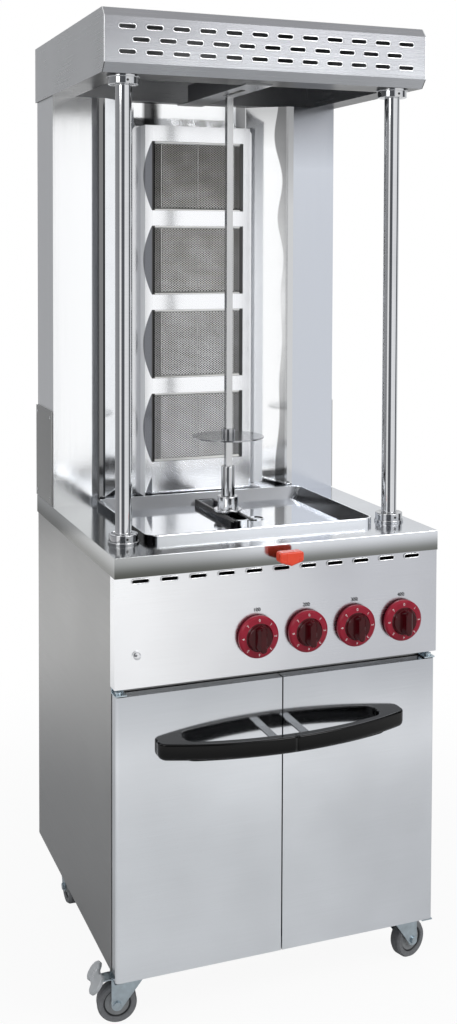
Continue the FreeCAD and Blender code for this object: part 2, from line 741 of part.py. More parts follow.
worktop = new_body("worktop")
block(worktop, -TOP_HALF, TOP_HALF, deep(-S.worktop_overhang), CARCASS_BACK + S.back_overhang,
      SKIRT_BOTTOM, S.worktop_top)
hollow(worktop, -TOP_HALF + S.worktop_sheet, TOP_HALF - S.worktop_sheet,
       deep(-S.worktop_overhang + S.worktop_sheet),
       CARCASS_BACK + S.back_overhang - S.worktop_sheet, SKIRT_BOTTOM, WORKTOP_UNDER)
sketch = new_sketch(worktop, "top", WORKTOP_UNDER - 1)
draw_round_rectangle(sketch, -PAN_HALF + PAN_CUT, PAN_HALF - PAN_CUT, PAN_FRONT + PAN_CUT,
                     PAN_BACK - PAN_CUT, S.pan_radius - PAN_CUT)
draw_rectangle(sketch, -PIPE_HALF, PIPE_HALF, PIPE_FRONT, PIPE_BACK)
pocket(worktop, sketch, S.worktop_sheet + 2)
bore(worktop, "front", deep(S.worktop_sheet), 0, S.rod_level, S.rod_diameter + 2,
     S.worktop_sheet * 3)
smooth(worktop, S.worktop_sheet, lambda edge, middle: runs_along(edge, ALONG_X)
       and abs(middle.z - number(S.worktop_top)) < 0.01
       and abs(middle.y - number(deep(-S.worktop_overhang))) < 0.01)
node(worktop)

# Drip pan: a raised rim, walls that slope to a shallow floor, and a collar round the spit's slot
PAN_UNDER = S.pan_floor - S.pan_sheet
PAN_TOP = S.worktop_top + S.pan_rim
SLOPE_STEP = S.pan_slope * S.pan_rim / (PAN_TOP - S.pan_floor)


def pan_sketch(body, level, inset, radius):
    sketch = new_sketch(body, "top", level)
    draw_round_rectangle(sketch, -PAN_HALF + inset, PAN_HALF - inset, PAN_FRONT + inset,
                         PAN_BACK - inset, radius)
    return sketch


drip_pan = new_body("drip_pan")
pad(drip_pan, pan_sketch(drip_pan, S.worktop_top, 0, S.pan_radius), S.pan_rim)
lower = pan_sketch(drip_pan, PAN_UNDER, S.pan_lip + S.pan_slope - S.pan_sheet, S.pan_radius / 2)
upper = pan_sketch(drip_pan, S.worktop_top, S.pan_lip + SLOPE_STEP - S.pan_sheet * 2,
                   S.pan_radius / 2)
loft(drip_pan, lower, upper)
lower = pan_sketch(drip_pan, S.pan_floor, S.pan_lip + S.pan_slope, S.pan_radius / 2)
upper = pan_sketch(drip_pan, PAN_TOP, S.pan_lip, S.pan_radius - S.pan_lip)
loft(drip_pan, lower, upper, cut=True)
slot_outer = S.slot_width + S.slot_wall * 2
slot_from = (0, deep(S.slot_front) + slot_outer / 2)
slot_to = (0, deep(S.slot_back) - slot_outer / 2)
sketch = new_sketch(drip_pan, "top", S.pan_floor)
draw_slot(sketch, slot_from, slot_to, slot_outer, upright=True)
pad(drip_pan, sketch, S.slot_rise)
sketch = new_sketch(drip_pan, "top", S.pan_floor)
draw_circle(sketch, S.drain_x, deep(S.drain_y), S.drain_diameter)
draw_circle(sketch, S.drain_x, deep(S.drain_y), S.drain_diameter - S.pan_lip)
pad(drip_pan, sketch, S.pan_sheet)
sketch = new_sketch(drip_pan, "top", PAN_UNDER - 1)
draw_slot(sketch, slot_from, slot_to, S.slot_width, upright=True)
pocket(drip_pan, sketch, S.slot_rise + S.pan_sheet + 2)
smooth(drip_pan, S.pan_lip / 2, lambda edge, middle: abs(middle.z - number(PAN_TOP)) < 0.01
       and max(abs(middle.x) - number(PAN_HALF), abs(middle.y - number(PAN_FRONT + S.pan_depth / 2))
               - number(S.pan_depth / 2)) > -number(S.pan_radius) / 2)
node(drip_pan)

# Posts, and the turned collars that hold them at the worktop and at the hood
HOOD_UNDER = S.hood_bottom
posts = []
collars = []
for side, name in SIDES:
    post = new_body(f"post_{name}")
    sketch = new_sketch(post, "top", S.worktop_top)
    draw_circle(sketch, 0, 0, S.post_diameter)
    draw_circle(sketch, 0, 0, S.post_diameter - S.post_wall * 2)
    pad(post, sketch, HOOD_UNDER - S.worktop_top)
    posts.append(place(post, S.post_x * side, deep(S.post_y), 0))
    hole = S.post_diameter / 2 + S.hair
    ends = (
        ("foot", S.worktop_top, 1, S.post_foot / 2, S.post_foot_height),
        ("head", HOOD_UNDER, -1, S.post_head / 2, S.post_head_height),
    )
    for end, seat, way, reach, height in ends:
        collar = new_body(f"collar_{end}_{name}")
        sketch = new_sketch(collar, "side", 0)
        top = seat + height * way
        step = seat + S.collar_ring * way
        neck = reach - S.collar_step
        bevel = S.collar_bevel
        draw_outline(sketch, (
            (hole, seat), (reach, seat), (reach, step - bevel * way), (reach - bevel, step),
            (neck, step), (neck, top - bevel * way), (neck - bevel, top), (hole, top),
        ))
        turned(collar, sketch)
        collars.append(place(collar, S.post_x * side, deep(S.post_y), 0))
group("posts", posts)
group("post_collars", collars)

# Housing: two folded jambs, a back and a polished reflector that lines the recess
for side, name in SIDES:
    body = new_body(f"housing_{name}")
    sketch = new_sketch(body, "top", S.worktop_top)
    outer = HALF * side
    inner = INNER_HALF * side
    mouth = S.recess_half * side
    front_in = HOUSING_FRONT + S.carcass_sheet
    draw_outline(sketch, (
        (outer, HOUSING_FRONT), (mouth, HOUSING_FRONT), (mouth, front_in), (inner, front_in),
        (inner, CARCASS_BACK), (outer, CARCASS_BACK),
    ))
    pad(body, sketch, HOOD_UNDER - S.worktop_top)
    node(body)

housing_back = new_body("housing_back")
block(housing_back, -HALF, HALF, CARCASS_BACK, CARCASS_BACK + S.carcass_sheet, S.worktop_top,
      HOOD_UNDER)
node(housing_back)

reflector = new_body("reflector")
sketch = new_sketch(reflector, "top", S.worktop_top)
flange = S.recess_half + S.reflector_flange
flange_front = HOUSING_FRONT - S.carcass_sheet
draw_outline(sketch, (
    (-flange, flange_front), (-S.recess_half, flange_front), (-S.recess_back_half, RECESS_BACK),
    (S.recess_back_half, RECESS_BACK), (S.recess_half, flange_front), (flange, flange_front),
    (flange, HOUSING_FRONT), (S.recess_half, HOUSING_FRONT),
    (S.recess_back_half, RECESS_BACK + S.carcass_sheet),
    (-S.recess_back_half, RECESS_BACK + S.carcass_sheet), (-S.recess_half, HOUSING_FRONT),
    (-flange, HOUSING_FRONT),
))
pad(reflector, sketch, HOOD_UNDER - S.worktop_top)
sketch = new_sketch(reflector, "front", RECESS_BACK + S.carcass_sheet * 2)
for index in range(BURNER_COUNT):
    draw_circle(sketch, 0, burner_z(index), S.tail_diameter + 4)
pocket(reflector, sketch, S.carcass_sheet * 3)
node(reflector)

covers = []
for side, name in SIDES:
    cover = new_body(f"access_cover_{name}")
    near = HALF * side
    far = (HALF + S.cover_proud) * side
    low_x, high_x = (far, near) if side < 0 else (near, far)
    skin = (HALF + S.cover_proud - S.carcass_sheet) * side
    low_in, high_in = (skin, near) if side < 0 else (near, skin)
    front = deep(S.cover_front)
    back = CARCASS_BACK + S.worktop_overhang
    bottom = S.worktop_top + S.worktop_overhang
    top = bottom + S.cover_height
    block(cover, low_x, high_x, front, back, bottom, top)
    hollow(cover, low_in, high_in, front + S.carcass_sheet, back - S.carcass_sheet,
           bottom + S.carcass_sheet, top - S.carcass_sheet)
    covers.append(cover)
group("access_covers", covers)

# Burner column: a box with four windows, and in each a mesh, two ceramic plaques and a gas box
COLUMN_BACK = RECESS_BACK - S.hair
COLUMN_FRONT = deep(S.column_front)

burner_column = new_body("burner_column")
block(burner_column, -S.column_half, S.column_half, COLUMN_FRONT, COLUMN_BACK, S.column_bottom,
      S.column_top)
lip_half = S.column_half + S.column_lip
lip_front = COLUMN_FRONT + S.column_lip_back
block(burner_column, -lip_half, lip_half, lip_front, lip_front + S.panel_sheet, S.column_bottom,
      S.column_top)
smooth(burner_column, S.column_lip * 0.6, lambda edge, middle: runs_along(edge, ALONG_Y)
       and abs(abs(middle.x) - number(lip_half)) < 0.01
       and middle.z > number(S.column_top) - 1)
hollow(burner_column, -S.column_half + S.panel_sheet, S.column_half - S.panel_sheet,
       COLUMN_FRONT + S.panel_sheet, COLUMN_BACK, S.column_bottom + S.panel_sheet,
       S.column_top - S.panel_sheet)
sketch = new_sketch(burner_column, "front", COLUMN_FRONT + S.panel_sheet * 2)
for index in range(BURNER_COUNT):
    middle = burner_z(index)
    draw_rectangle(sketch, -S.burner_width / 2, S.burner_width / 2,
                   middle - S.burner_height / 2, middle + S.burner_height / 2)
pocket(burner_column, sketch, S.panel_sheet * 3)
node(burner_column)

MESH_FRONT = COLUMN_FRONT + S.mesh_inset
PLAQUE_FRONT = MESH_FRONT + S.mesh_frame
PLAQUE_BACK = PLAQUE_FRONT + S.plaque_depth
BOX_HALF = S.burner_width / 2 - S.window_play
BOX_RISE = S.burner_height / 2 - S.window_play


def mesh_unit(index):
    """A frame whose inner edge is bevelled to the front, closed by a thin mesh."""
    body = new_body(f"burner_mesh_{index + 1}")
    middle = burner_z(index)
    block(body, -BOX_HALF, BOX_HALF, MESH_FRONT, PLAQUE_FRONT, middle - BOX_RISE,
          middle + BOX_RISE)
    wide, high = S.mesh_width / 2, S.mesh_height / 2
    back = new_sketch(body, "front", PLAQUE_FRONT - S.mesh_sheet)
    draw_rectangle(back, -wide, wide, middle - high, middle + high)
    front = new_sketch(body, "front", MESH_FRONT)
    bevel = S.mesh_bevel
    draw_rectangle(front, -wide - bevel, wide + bevel, middle - high - bevel,
                   middle + high + bevel)
    loft(body, back, front, cut=True)
    return body


def plaque_unit(index, side):
    body = new_body(f"plaque_{index + 1}_{side + 2}")
    middle = burner_z(index)
    near = S.plaque_gap * side
    far = (S.plaque_gap + S.plaque_width) * side
    low_x, high_x = (far, near) if side < 0 else (near, far)
    block(body, low_x, high_x, PLAQUE_FRONT, PLAQUE_BACK, middle - S.plaque_height / 2,
          middle + S.plaque_height / 2)
    return body


def gas_box(index):
    """A pressed box that holds the plaques, with ears for the column and a mixing tube."""
    body = new_body(f"burner_body_{index + 1}")
    middle = burner_z(index)
    back = PLAQUE_BACK + S.gas_box_depth
    block(body, -BOX_HALF, BOX_HALF, PLAQUE_FRONT, back, middle - BOX_RISE, middle + BOX_RISE)
    ear_half = S.column_half - S.panel_sheet - S.hair
    ear_front = PLAQUE_BACK + S.plaque_depth
    block(body, -ear_half, ear_half, ear_front, ear_front + S.floor_sheet,
          middle - S.ear_height / 2, middle + S.ear_height / 2)
    seat_x = S.plaque_gap + S.plaque_width + S.hair
    seat_z = S.plaque_height / 2 + S.hair
    hollow(body, -seat_x, seat_x, PLAQUE_FRONT, PLAQUE_BACK, middle - seat_z, middle + seat_z)
    ledge = S.panel_sheet * 4
    hollow(body, -seat_x + ledge, seat_x - ledge, PLAQUE_BACK, back - S.panel_sheet,
           middle - seat_z + ledge, middle + seat_z - ledge)
    tail = RECESS_BACK + S.burner_tail_gap
    sketch = new_sketch(body, "front", tail)
    draw_circle(sketch, 0, middle, S.tail_diameter)
    pad(body, sketch, tail - back)
    return body


group("burner_meshes", [mesh_unit(i) for i in range(BURNER_COUNT)])
group("burner_plaques", [plaque_unit(i, s) for i in range(BURNER_COUNT) for s in (-1, 1)])
group("burner_bodies", [gas_box(i) for i in range(BURNER_COUNT)])

# Hood: a bevelled shell, open in the middle below, with a slotted front sheet of its own
HOOD_HALF = S.hood_width / 2
HOOD_FRONT = deep(S.hood_front)
HOOD_FLAT = HOOD_FRONT + S.hood_bevel
HOOD_BACK = deep(S.hood_back)
BEVEL_RUN = root(S.hood_bevel * S.hood_bevel + S.hood_bevel_rise * S.hood_bevel_rise)
FACE_STEP = S.hood_sheet * ((BEVEL_RUN - S.hood_bevel_rise) / S.hood_bevel)
TOP_STEP = S.hood_sheet * ((BEVEL_RUN - S.hood_bevel) / S.hood_bevel_rise)
CUT_STEP = S.hood_sheet * BEVEL_RUN / S.hood_bevel

hood_shell = new_body("hood_shell")
sketch = new_sketch(hood_shell, "side", -HOOD_HALF)
draw_outline(sketch, (
    (HOOD_FRONT, S.hood_bottom + S.hood_bevel_rise), (HOOD_FRONT, S.hood_top - S.hood_bevel_rise),
    (HOOD_FLAT, S.hood_top), (HOOD_BACK, S.hood_top), (HOOD_BACK, S.hood_bottom),
    (HOOD_FLAT, S.hood_bottom),
))
pad(hood_shell, sketch, S.hood_width)
sketch = new_sketch(hood_shell, "side", -HOOD_HALF + S.hood_sheet)
inner_face = HOOD_FRONT + S.hood_sheet
draw_outline(sketch, (
    (inner_face, S.hood_bottom + S.hood_bevel_rise + FACE_STEP),
    (inner_face, S.hood_top - S.hood_bevel_rise - FACE_STEP),
    (HOOD_FLAT + TOP_STEP, S.hood_top - S.hood_sheet),
    (HOOD_BACK - S.hood_sheet, S.hood_top - S.hood_sheet),
    (HOOD_BACK - S.hood_sheet, S.hood_bottom + S.hood_sheet),
    (HOOD_FLAT + TOP_STEP, S.hood_bottom + S.hood_sheet),
))
pocket(hood_shell, sketch, S.hood_width - S.hood_sheet * 2)
FASCIA_HALF = HOOD_HALF - S.hood_sheet
hollow(hood_shell, -FASCIA_HALF, FASCIA_HALF, HOOD_FRONT - 1, HOOD_FLAT, S.hood_bottom - 1,
       S.hood_top + 1)
hollow(hood_shell, -HOOD_HALF + S.hood_rim_side, HOOD_HALF - S.hood_rim_side,
       deep(S.hood_rim_front), deep(S.hood_rim_back), S.hood_bottom - 1,
       S.hood_bottom + S.hood_sheet)
node(hood_shell)

hood_fascia = new_body("hood_fascia")
sketch = new_sketch(hood_fascia, "side", -FASCIA_HALF + S.hair)
draw_outline(sketch, (
    (HOOD_FLAT, S.hood_bottom), (HOOD_FRONT, S.hood_bottom + S.hood_bevel_rise),
    (HOOD_FRONT, S.hood_top - S.hood_bevel_rise), (HOOD_FLAT, S.hood_top),
    (HOOD_FLAT, S.hood_top - CUT_STEP),
    (inner_face, S.hood_top - S.hood_bevel_rise - FACE_STEP),
    (inner_face, S.hood_bottom + S.hood_bevel_rise + FACE_STEP),
    (HOOD_FLAT, S.hood_bottom + CUT_STEP),
))
pad(hood_fascia, sketch, FASCIA_HALF * 2 - S.hair * 2)
rows = ((1, LONG_ROW), (0, SHORT_ROW), (-1, LONG_ROW))
for step, count in rows:
    slot_row(hood_fascia, HOOD_FRONT + S.hood_sheet * 2, S.hood_sheet * 3,
             S.hood_slot_pitch * (1 - count) / 2, S.slot_row + S.slot_row_pitch * step,
             S.hood_slot_pitch, S.hood_slot_length, S.hood_slot_width, count)
node(hood_fascia)

# Channel under the hood, which guides the upper bearing of the spit
CHANNEL_UNDER = S.hood_bottom - S.channel_sheet
BEARING_HALF = S.channel_half - S.channel_wall - S.slide_play
PIN_SLOT = S.spit_pin + 4

hood_channel = new_body("hood_channel")
block(hood_channel, -S.channel_half, S.channel_half, deep(S.channel_front),
      deep(S.channel_back), CHANNEL_UNDER, S.hood_bottom)
block(hood_channel, -S.channel_half, S.channel_half, deep(S.hood_rim_front) + S.hair,
      deep(S.channel_wall_back), S.hood_bottom, S.hood_bottom + S.channel_rise)
hollow(hood_channel, -S.channel_half + S.channel_wall, S.channel_half - S.channel_wall,
       deep(S.hood_rim_front), deep(S.channel_wall_back), S.hood_bottom,
       S.hood_bottom + S.channel_rise)
sketch = new_sketch(hood_channel, "top", CHANNEL_UNDER - 1)
draw_slot(sketch, (0, SPIT_Y - S.slide_out - 2), (0, SPIT_Y + S.slide_in + 2), PIN_SLOT,
          upright=True)
pocket(hood_channel, sketch, S.channel_sheet + 2)
node(hood_channel)

top_bearing = new_body("top_bearing")
bearing_low = S.hood_bottom + S.slide_play
block(top_bearing, -BEARING_HALF, BEARING_HALF, SPIT_Y - S.bearing_length / 2,
      SPIT_Y + S.bearing_length / 2, bearing_low, bearing_low + S.bearing_height)
bore(top_bearing, "top", bearing_low - 1, 0, SPIT_Y, S.spit_pin + S.pivot_play * 2,
     S.bearing_height + 2)
smooth(top_bearing, 2, lambda edge, middle: runs_along(edge, UP)
       and edge.Length > number(S.bearing_height) / 2, kind="Chamfer")
node(top_bearing)

# Spit drive: rails under the worktop, a sliding carriage with its motor, and the pull rod
RAIL_TOP = S.carriage_level - S.slide_play
RAIL_FRONT = deep(S.rail_front)
RAIL_BACK = deep(S.rail_back)
rails = []
for side, name in SIDES:
    rail = new_body(f"carriage_rail_{name}")
    near = S.rail_inner * side
    far = (S.rail_inner + S.rail_leg) * side
    web = (S.rail_inner + S.rail_leg - S.rail_sheet) * side
    low_x, high_x = (far, near) if side < 0 else (near, far)
    low_web, high_web = (far, web) if side < 0 else (web, far)
    block(rail, low_x, high_x, RAIL_FRONT, RAIL_BACK, RAIL_TOP - S.rail_sheet, RAIL_TOP)
    block(rail, low_web, high_web, RAIL_FRONT, RAIL_BACK, RAIL_TOP - S.rail_leg, RAIL_TOP)
    block(rail, low_x, high_x, RAIL_FRONT, RAIL_FRONT + S.rail_sheet, RAIL_TOP, WORKTOP_UNDER)
    block(rail, low_x, high_x, RAIL_BACK - S.rail_sheet, RAIL_BACK, RAIL_TOP, WORKTOP_UNDER)
    rails.append(rail)
group("carriage_rails", rails)

CARRIAGE_TOP = S.carriage_level + S.carriage_sheet
CARRIAGE_FRONT = SPIT_Y - S.carriage_length / 2

spit_carriage = new_body("spit_carriage")
block(spit_carriage, -S.carriage_width / 2, S.carriage_width / 2, CARRIAGE_FRONT,
      SPIT_Y + S.carriage_length / 2, S.carriage_level, CARRIAGE_TOP)
bore(spit_carriage, "top", S.carriage_level - 1, 0, SPIT_Y, BEARING_BORE, S.carriage_sheet + 2)
smooth(spit_carriage, S.carriage_sheet, lambda edge, middle: runs_along(edge, UP)
       and abs(middle.x) > number(S.rail_inner), kind="Chamfer")
node(spit_carriage)

gear_motor = new_body("gear_motor")
motor_half = S.motor_size / 2
gearbox_low = S.carriage_level - S.motor_height
block(gear_motor, -motor_half, motor_half, SPIT_Y - motor_half, SPIT_Y + motor_half, gearbox_low,
      S.carriage_level)
smooth(gear_motor, S.carriage_sheet, lambda edge, middle: runs_along(edge, UP))
sketch = new_sketch(gear_motor, "top", gearbox_low - S.motor_can_height)
draw_circle(sketch, 0, SPIT_Y, S.motor_can)
pad(gear_motor, sketch, S.motor_can_height)
bore(gear_motor, "top", S.carriage_level - S.shaft_engage - 2, 0, SPIT_Y, BEARING_BORE,
     S.shaft_engage + 2)
node(gear_motor)

bearing_collar = new_body("bearing_collar")
sketch = new_sketch(bearing_collar, "side", 0)
hole = BEARING_BORE / 2
flange_top = S.flange_level + S.flange_sheet
draw_outline(sketch, (
    (hole, CARRIAGE_TOP), (S.neck_diameter / 2, CARRIAGE_TOP),
    (S.neck_diameter / 2, S.flange_level), (S.flange_diameter / 2, S.flange_level),
    (S.flange_diameter / 2, flange_top), (S.collar_diameter / 2, flange_top),
    (S.collar_diameter / 2, S.collar_top - 2), (S.collar_diameter / 2 - 2, S.collar_top),
    (hole, S.collar_top),
))
turned(bearing_collar, sketch)
node(place(bearing_collar, 0, SPIT_Y, 0))

spit_socket = new_body("spit_socket")
sketch = new_sketch(spit_socket, "side", 0)
socket_low = S.collar_top + S.slide_play
draw_outline(sketch, (
    (0, S.carriage_level - S.shaft_engage), (S.shaft_diameter / 2, S.carriage_level - S.shaft_engage),
    (S.shaft_diameter / 2, socket_low), (S.socket_diameter / 2, socket_low),
    (S.socket_diameter / 2, S.socket_top - 2), (S.socket_diameter / 2 - 2, S.socket_top),
    (0, S.socket_top),
))
turned(spit_socket, sketch)
square = SQUARE_BORE / 2
hollow(spit_socket, -square, square, -square, square, S.socket_top - S.socket_grip, S.socket_top + 1)
node(place(spit_socket, 0, SPIT_Y, 0))

spit_rod = new_body("spit_rod")
flat = S.spit_square / 2
block(spit_rod, -flat, flat, -flat, flat, S.socket_top - S.socket_grip, S.spit_top)
sketch = new_sketch(spit_rod, "top", S.spit_top)
draw_circle(sketch, 0, 0, S.spit_pin)
pad(spit_rod, sketch, S.spit_pin_length)
node(place(spit_rod, 0, SPIT_Y, 0))

meat_disc = new_body("meat_disc")
sketch = new_sketch(meat_disc, "side", 0)
disc_top = S.disc_level + S.disc_sheet
draw_outline(sketch, (
    (0, S.disc_level), (S.disc_diameter / 2, S.disc_level), (S.disc_diameter / 2, disc_top),
    (S.disc_hub / 2, disc_top), (S.disc_hub / 2, disc_top + S.hub_height),
    (0, disc_top + S.hub_height),
))
turned(meat_disc, sketch)
hollow(meat_disc, -square, square, -square, square, S.disc_level - 1, disc_top + S.hub_height + 1)
node(place(meat_disc, 0, SPIT_Y, 0))

pull_rod = new_body("pull_rod")
rod_front = deep(-S.pull_reach + S.pull_depth / 2)
rod_back = SPIT_Y - S.neck_diameter / 2 - S.hair
sketch = new_sketch(pull_rod, "front", rod_back)
draw_circle(sketch, 0, S.rod_level, S.rod_diameter)
pad(pull_rod, sketch, rod_back - rod_front)
node(pull_rod)

pull_handle = new_body("pull_handle")
pull_half = S.pull_width / 2
pull_rise = S.pull_height / 2
sketch = new_sketch(pull_handle, "front", deep(-S.pull_reach + S.pull_depth))
draw_outline(sketch, (
    (-pull_half, S.rod_level - pull_rise * 0.4), (0, S.rod_level - pull_rise),
    (pull_half, S.rod_level - pull_rise * 0.4), (pull_half, S.rod_level + pull_rise),
    (-pull_half, S.rod_level + pull_rise),
))
pad(pull_handle, sketch, S.pull_depth)
smooth(pull_handle, S.pull_depth / 4, lambda edge, middle: runs_along(edge, ALONG_Y)
       and abs(middle.x) > 1)
smooth(pull_handle, S.pull_depth / 6, lambda edge, middle:
       abs(middle.y - number(deep(-S.pull_reach))) < 0.01)
bore(pull_handle, "front", deep(-S.pull_reach + S.pull_depth + 1), 0, S.rod_level,
     S.rod_diameter + S.hair, S.pull_depth / 2 + 1)
node(pull_handle)

# Doors: folded trays with a rolled outer edge and pivot blocks, on pins at top and bottom
DOOR_OUTER = HALF - S.door_margin
DOOR_INNER = S.door_gap / 2
PIVOT_X = DOOR_OUTER - S.pivot_inset
PIVOT_Y = deep(S.pivot_depth)
PIVOT_BORE = S.pivot_pin + S.pivot_play * 2


def ordered(side, near, far):
    """Low and high X of a span given for the right-hand side."""
    return (far * -1, near * -1) if side < 0 else (near, far)


def door(side, name):
    body = new_body(f"door_{name}")
    front, back = deep(0), deep(S.door_thickness)
    low, high = ordered(side, DOOR_INNER, DOOR_OUTER)
    block(body, low, high, front, back, S.door_bottom, S.door_top)
    low, high = ordered(side, DOOR_INNER + S.door_sheet, DOOR_OUTER - S.door_sheet)
    hollow(body, low, high, front + S.door_sheet, back - S.door_sheet,
           S.door_bottom + S.door_sheet, S.door_top - S.door_sheet)
    low, high = ordered(side, DOOR_INNER + S.door_return, DOOR_OUTER - S.door_return)
    hollow(body, low, high, back - S.door_sheet, back, S.door_bottom + S.door_return,
           S.door_top - S.door_return)
    for reach, radius in ((DOOR_OUTER, S.door_edge_radius),
                          (DOOR_OUTER - S.door_sheet, S.door_edge_radius - S.door_sheet)):
        depth = 0 if reach is DOOR_OUTER else number(S.door_sheet)
        smooth(body, radius, lambda edge, middle: runs_along(edge, UP)
               and abs(abs(middle.x) - number(reach)) < 0.01
               and abs(middle.y - number(deep(0)) - depth) < 0.01)
    for low_z in (S.door_bottom, S.door_top - S.pivot_boss_length):
        sketch = new_sketch(body, "top", low_z)
        draw_circle(sketch, PIVOT_X * side, PIVOT_Y, S.pivot_boss)
        pad(body, sketch, S.pivot_boss_length)
    depth = S.pivot_reach + 1
    bore(body, "top", S.door_bottom, PIVOT_X * side, PIVOT_Y, PIVOT_BORE, depth)
    bore(body, "top", S.door_top - depth, PIVOT_X * side, PIVOT_Y, PIVOT_BORE, depth)
    node(body)


# Door handles: one bow in two halves, hollow behind, each steadied by a flat steel strut
HANDLE_LOW = S.handle_level - S.handle_height / 2
BOW_RISE = S.handle_reach - S.handle_end
HANDLE_RADIUS = (S.handle_half * S.handle_half + BOW_RISE * BOW_RISE) / (BOW_RISE * 2)
HOLLOW_END = S.handle_half - S.handle_solid
HOLLOW_DEPTH = root(S.handle_inner_radius * S.handle_inner_radius - HOLLOW_END * HOLLOW_END)
RIM_INNER = S.handle_reach - S.handle_rim


def handle(side, name, strut_x):
    bar = new_body(f"handle_bar_{name}")
    sketch = new_sketch(bar, "top", HANDLE_LOW)
    start = DOOR_INNER * side
    draw_outline(sketch, (
        (start, deep(-S.handle_reach)), (S.handle_half * side, deep(-S.handle_end)),
        (S.handle_half * side, deep(0)), (HOLLOW_END * side, deep(0)),
        (HOLLOW_END * side, deep(-RIM_INNER) + S.handle_inner_radius - HOLLOW_DEPTH),
        (start, deep(-RIM_INNER)),
    ), {0: (HANDLE_RADIUS, side), 4: (S.handle_inner_radius, -side)})
    pad(bar, sketch, S.handle_height)
    smooth(bar, S.handle_hollow, lambda edge, middle: runs_along(edge, UP)
           and abs(abs(middle.x) - number(HOLLOW_END)) < 0.01
           and middle.y < number(deep(0)) - 1)
    smooth(bar, S.handle_nose, lambda edge, middle: runs_along(edge, UP)
           and abs(abs(middle.x) - number(S.handle_half)) < 0.01
           and middle.y < number(deep(0)) - 1)
    far_out = number(HANDLE_RADIUS) * 0.98
    smooth(bar, S.handle_edge, lambda edge, middle: edge.Curve.TypeId == "Part::GeomCircle"
           and abs(edge.Curve.Radius) > far_out
           and abs(edge.Curve.Radius - number(S.handle_inner_radius)) > 1
           and abs(middle.z - number(HANDLE_LOW)) < 0.01)
    strut = new_body(f"handle_strut_{name}")
    top = HANDLE_LOW + S.handle_height - S.strut_drop
    block(strut, strut_x - S.strut_width / 2, strut_x + S.strut_width / 2,
          deep(-RIM_INNER) + S.strut_play, deep(0), top - S.strut_sheet, top)
    group(f"handle_{name}", [bar, strut])


for (side, name), strut_x in zip(SIDES, (S.strut_left, S.strut_right)):
    door(side, name)
    handle(side, name, strut_x)

brackets = []
for side, name in SIDES:
    low_x, high_x = ordered(side, PIVOT_X - S.bracket_width / 2, HALF)
    heel_low, heel_high = ordered(side, PIVOT_X, HALF)
    front = deep(1)
    lower = new_body(f"hinge_bracket_lower_{name}")
    plate_top = S.door_bottom - S.bracket_gap
    heel = CARCASS_FRONT + S.carcass_sheet + S.hair
    block(lower, low_x, high_x, front, CARCASS_FRONT - S.bracket_sheet, plate_top - S.bracket_sheet,
          plate_top)
    block(lower, heel_low, heel_high, front, heel + S.bracket_sheet, plate_top - S.bracket_sheet,
          plate_top)
    block(lower, heel_low, heel_high, heel, heel + S.bracket_sheet, plate_top, S.floor_level)
    sketch = new_sketch(lower, "top", plate_top)
    draw_circle(sketch, PIVOT_X * side, PIVOT_Y, S.pivot_pin)
    pad(lower, sketch, S.bracket_gap + S.pivot_reach)
    brackets.append(lower)
    upper = new_body(f"hinge_bracket_upper_{name}")
    plate_low = S.door_top + S.bracket_gap
    block(upper, low_x, high_x, front, CARCASS_FRONT, plate_low, plate_low + S.bracket_sheet)
    block(upper, low_x, high_x, CARCASS_FRONT - S.bracket_sheet, CARCASS_FRONT, plate_low,
          S.panel_bottom - S.bracket_gap)
    sketch = new_sketch(upper, "top", S.door_top - S.pivot_reach)
    draw_circle(sketch, PIVOT_X * side, PIVOT_Y, S.pivot_pin)
    pad(upper, sketch, S.pivot_reach + S.bracket_gap)
    sketch = new_sketch(upper, "top", plate_low)
    draw_circle(sketch, PIVOT_X * side, PIVOT_Y, S.pivot_boss - 2)
    pad(upper, sketch, S.pivot_pin)
    brackets.append(upper)
group("hinge_brackets", brackets)

# Knobs on sprung spindles, each in a valve behind the panel
KNOB_BACK = deep(-S.knob_clearance)
KNOB_RADIUS = S.knob_diameter / 2
GRIP_RADIUS = S.knob_grip_diameter / 2


def knob(index):
    """A skirt, a raised middle and a grip bar, turned and padded about the spindle's axis."""
    body = new_body(f"knob_{index + 1}")
    sketch = new_sketch(body, "side", 0)
    hole = S.spindle_diameter / 2 + S.pivot_play
    skirt_front = KNOB_BACK - S.knob_skirt_depth
    boss_front = KNOB_BACK - S.knob_boss_depth
    draw_outline(sketch, (
        (KNOB_BACK, hole), (KNOB_BACK, KNOB_RADIUS), (skirt_front + 4, KNOB_RADIUS),
        (skirt_front + 1, KNOB_RADIUS - 3), (skirt_front, GRIP_RADIUS + 2),
        (skirt_front - 2, GRIP_RADIUS), (boss_front + 1, GRIP_RADIUS - 1),
        (boss_front, GRIP_RADIUS - 2), (boss_front, 0), (KNOB_BACK - S.knob_bore, 0),
        (KNOB_BACK - S.knob_bore, hole),
    ))
    turned(body, sketch, "H_Axis")
    grip_back = boss_front + 1
    grip_front = KNOB_BACK - S.knob_depth
    ends = []
    for at, width in ((grip_back, S.knob_bar_root), (grip_front, S.knob_bar_width)):
        reach = GRIP_RADIUS - width / 2 - 1
        sketch = new_sketch(body, "front", at)
        draw_slot(sketch, (0, -reach), (0, reach), width, upright=True)
        ends.append(sketch)
    loft(body, *ends)
    front = number(grip_front)
    smooth(body, S.knob_bar_width / 8, lambda edge, middle: abs(middle.y - front) < 0.01,
           "Chamfer")
    node(place(body, knob_x(index), 0, S.knob_height))


def spindle(index):
    body = new_body(f"valve_spindle_{index + 1}")
    tip = KNOB_BACK - S.knob_bore + S.hair
    back = deep(S.valve_front) + S.spindle_grip
    sketch = new_sketch(body, "front", back)
    draw_circle(sketch, knob_x(index), S.knob_height, S.spindle_diameter)
    pad(body, sketch, back - tip)
    node(body)


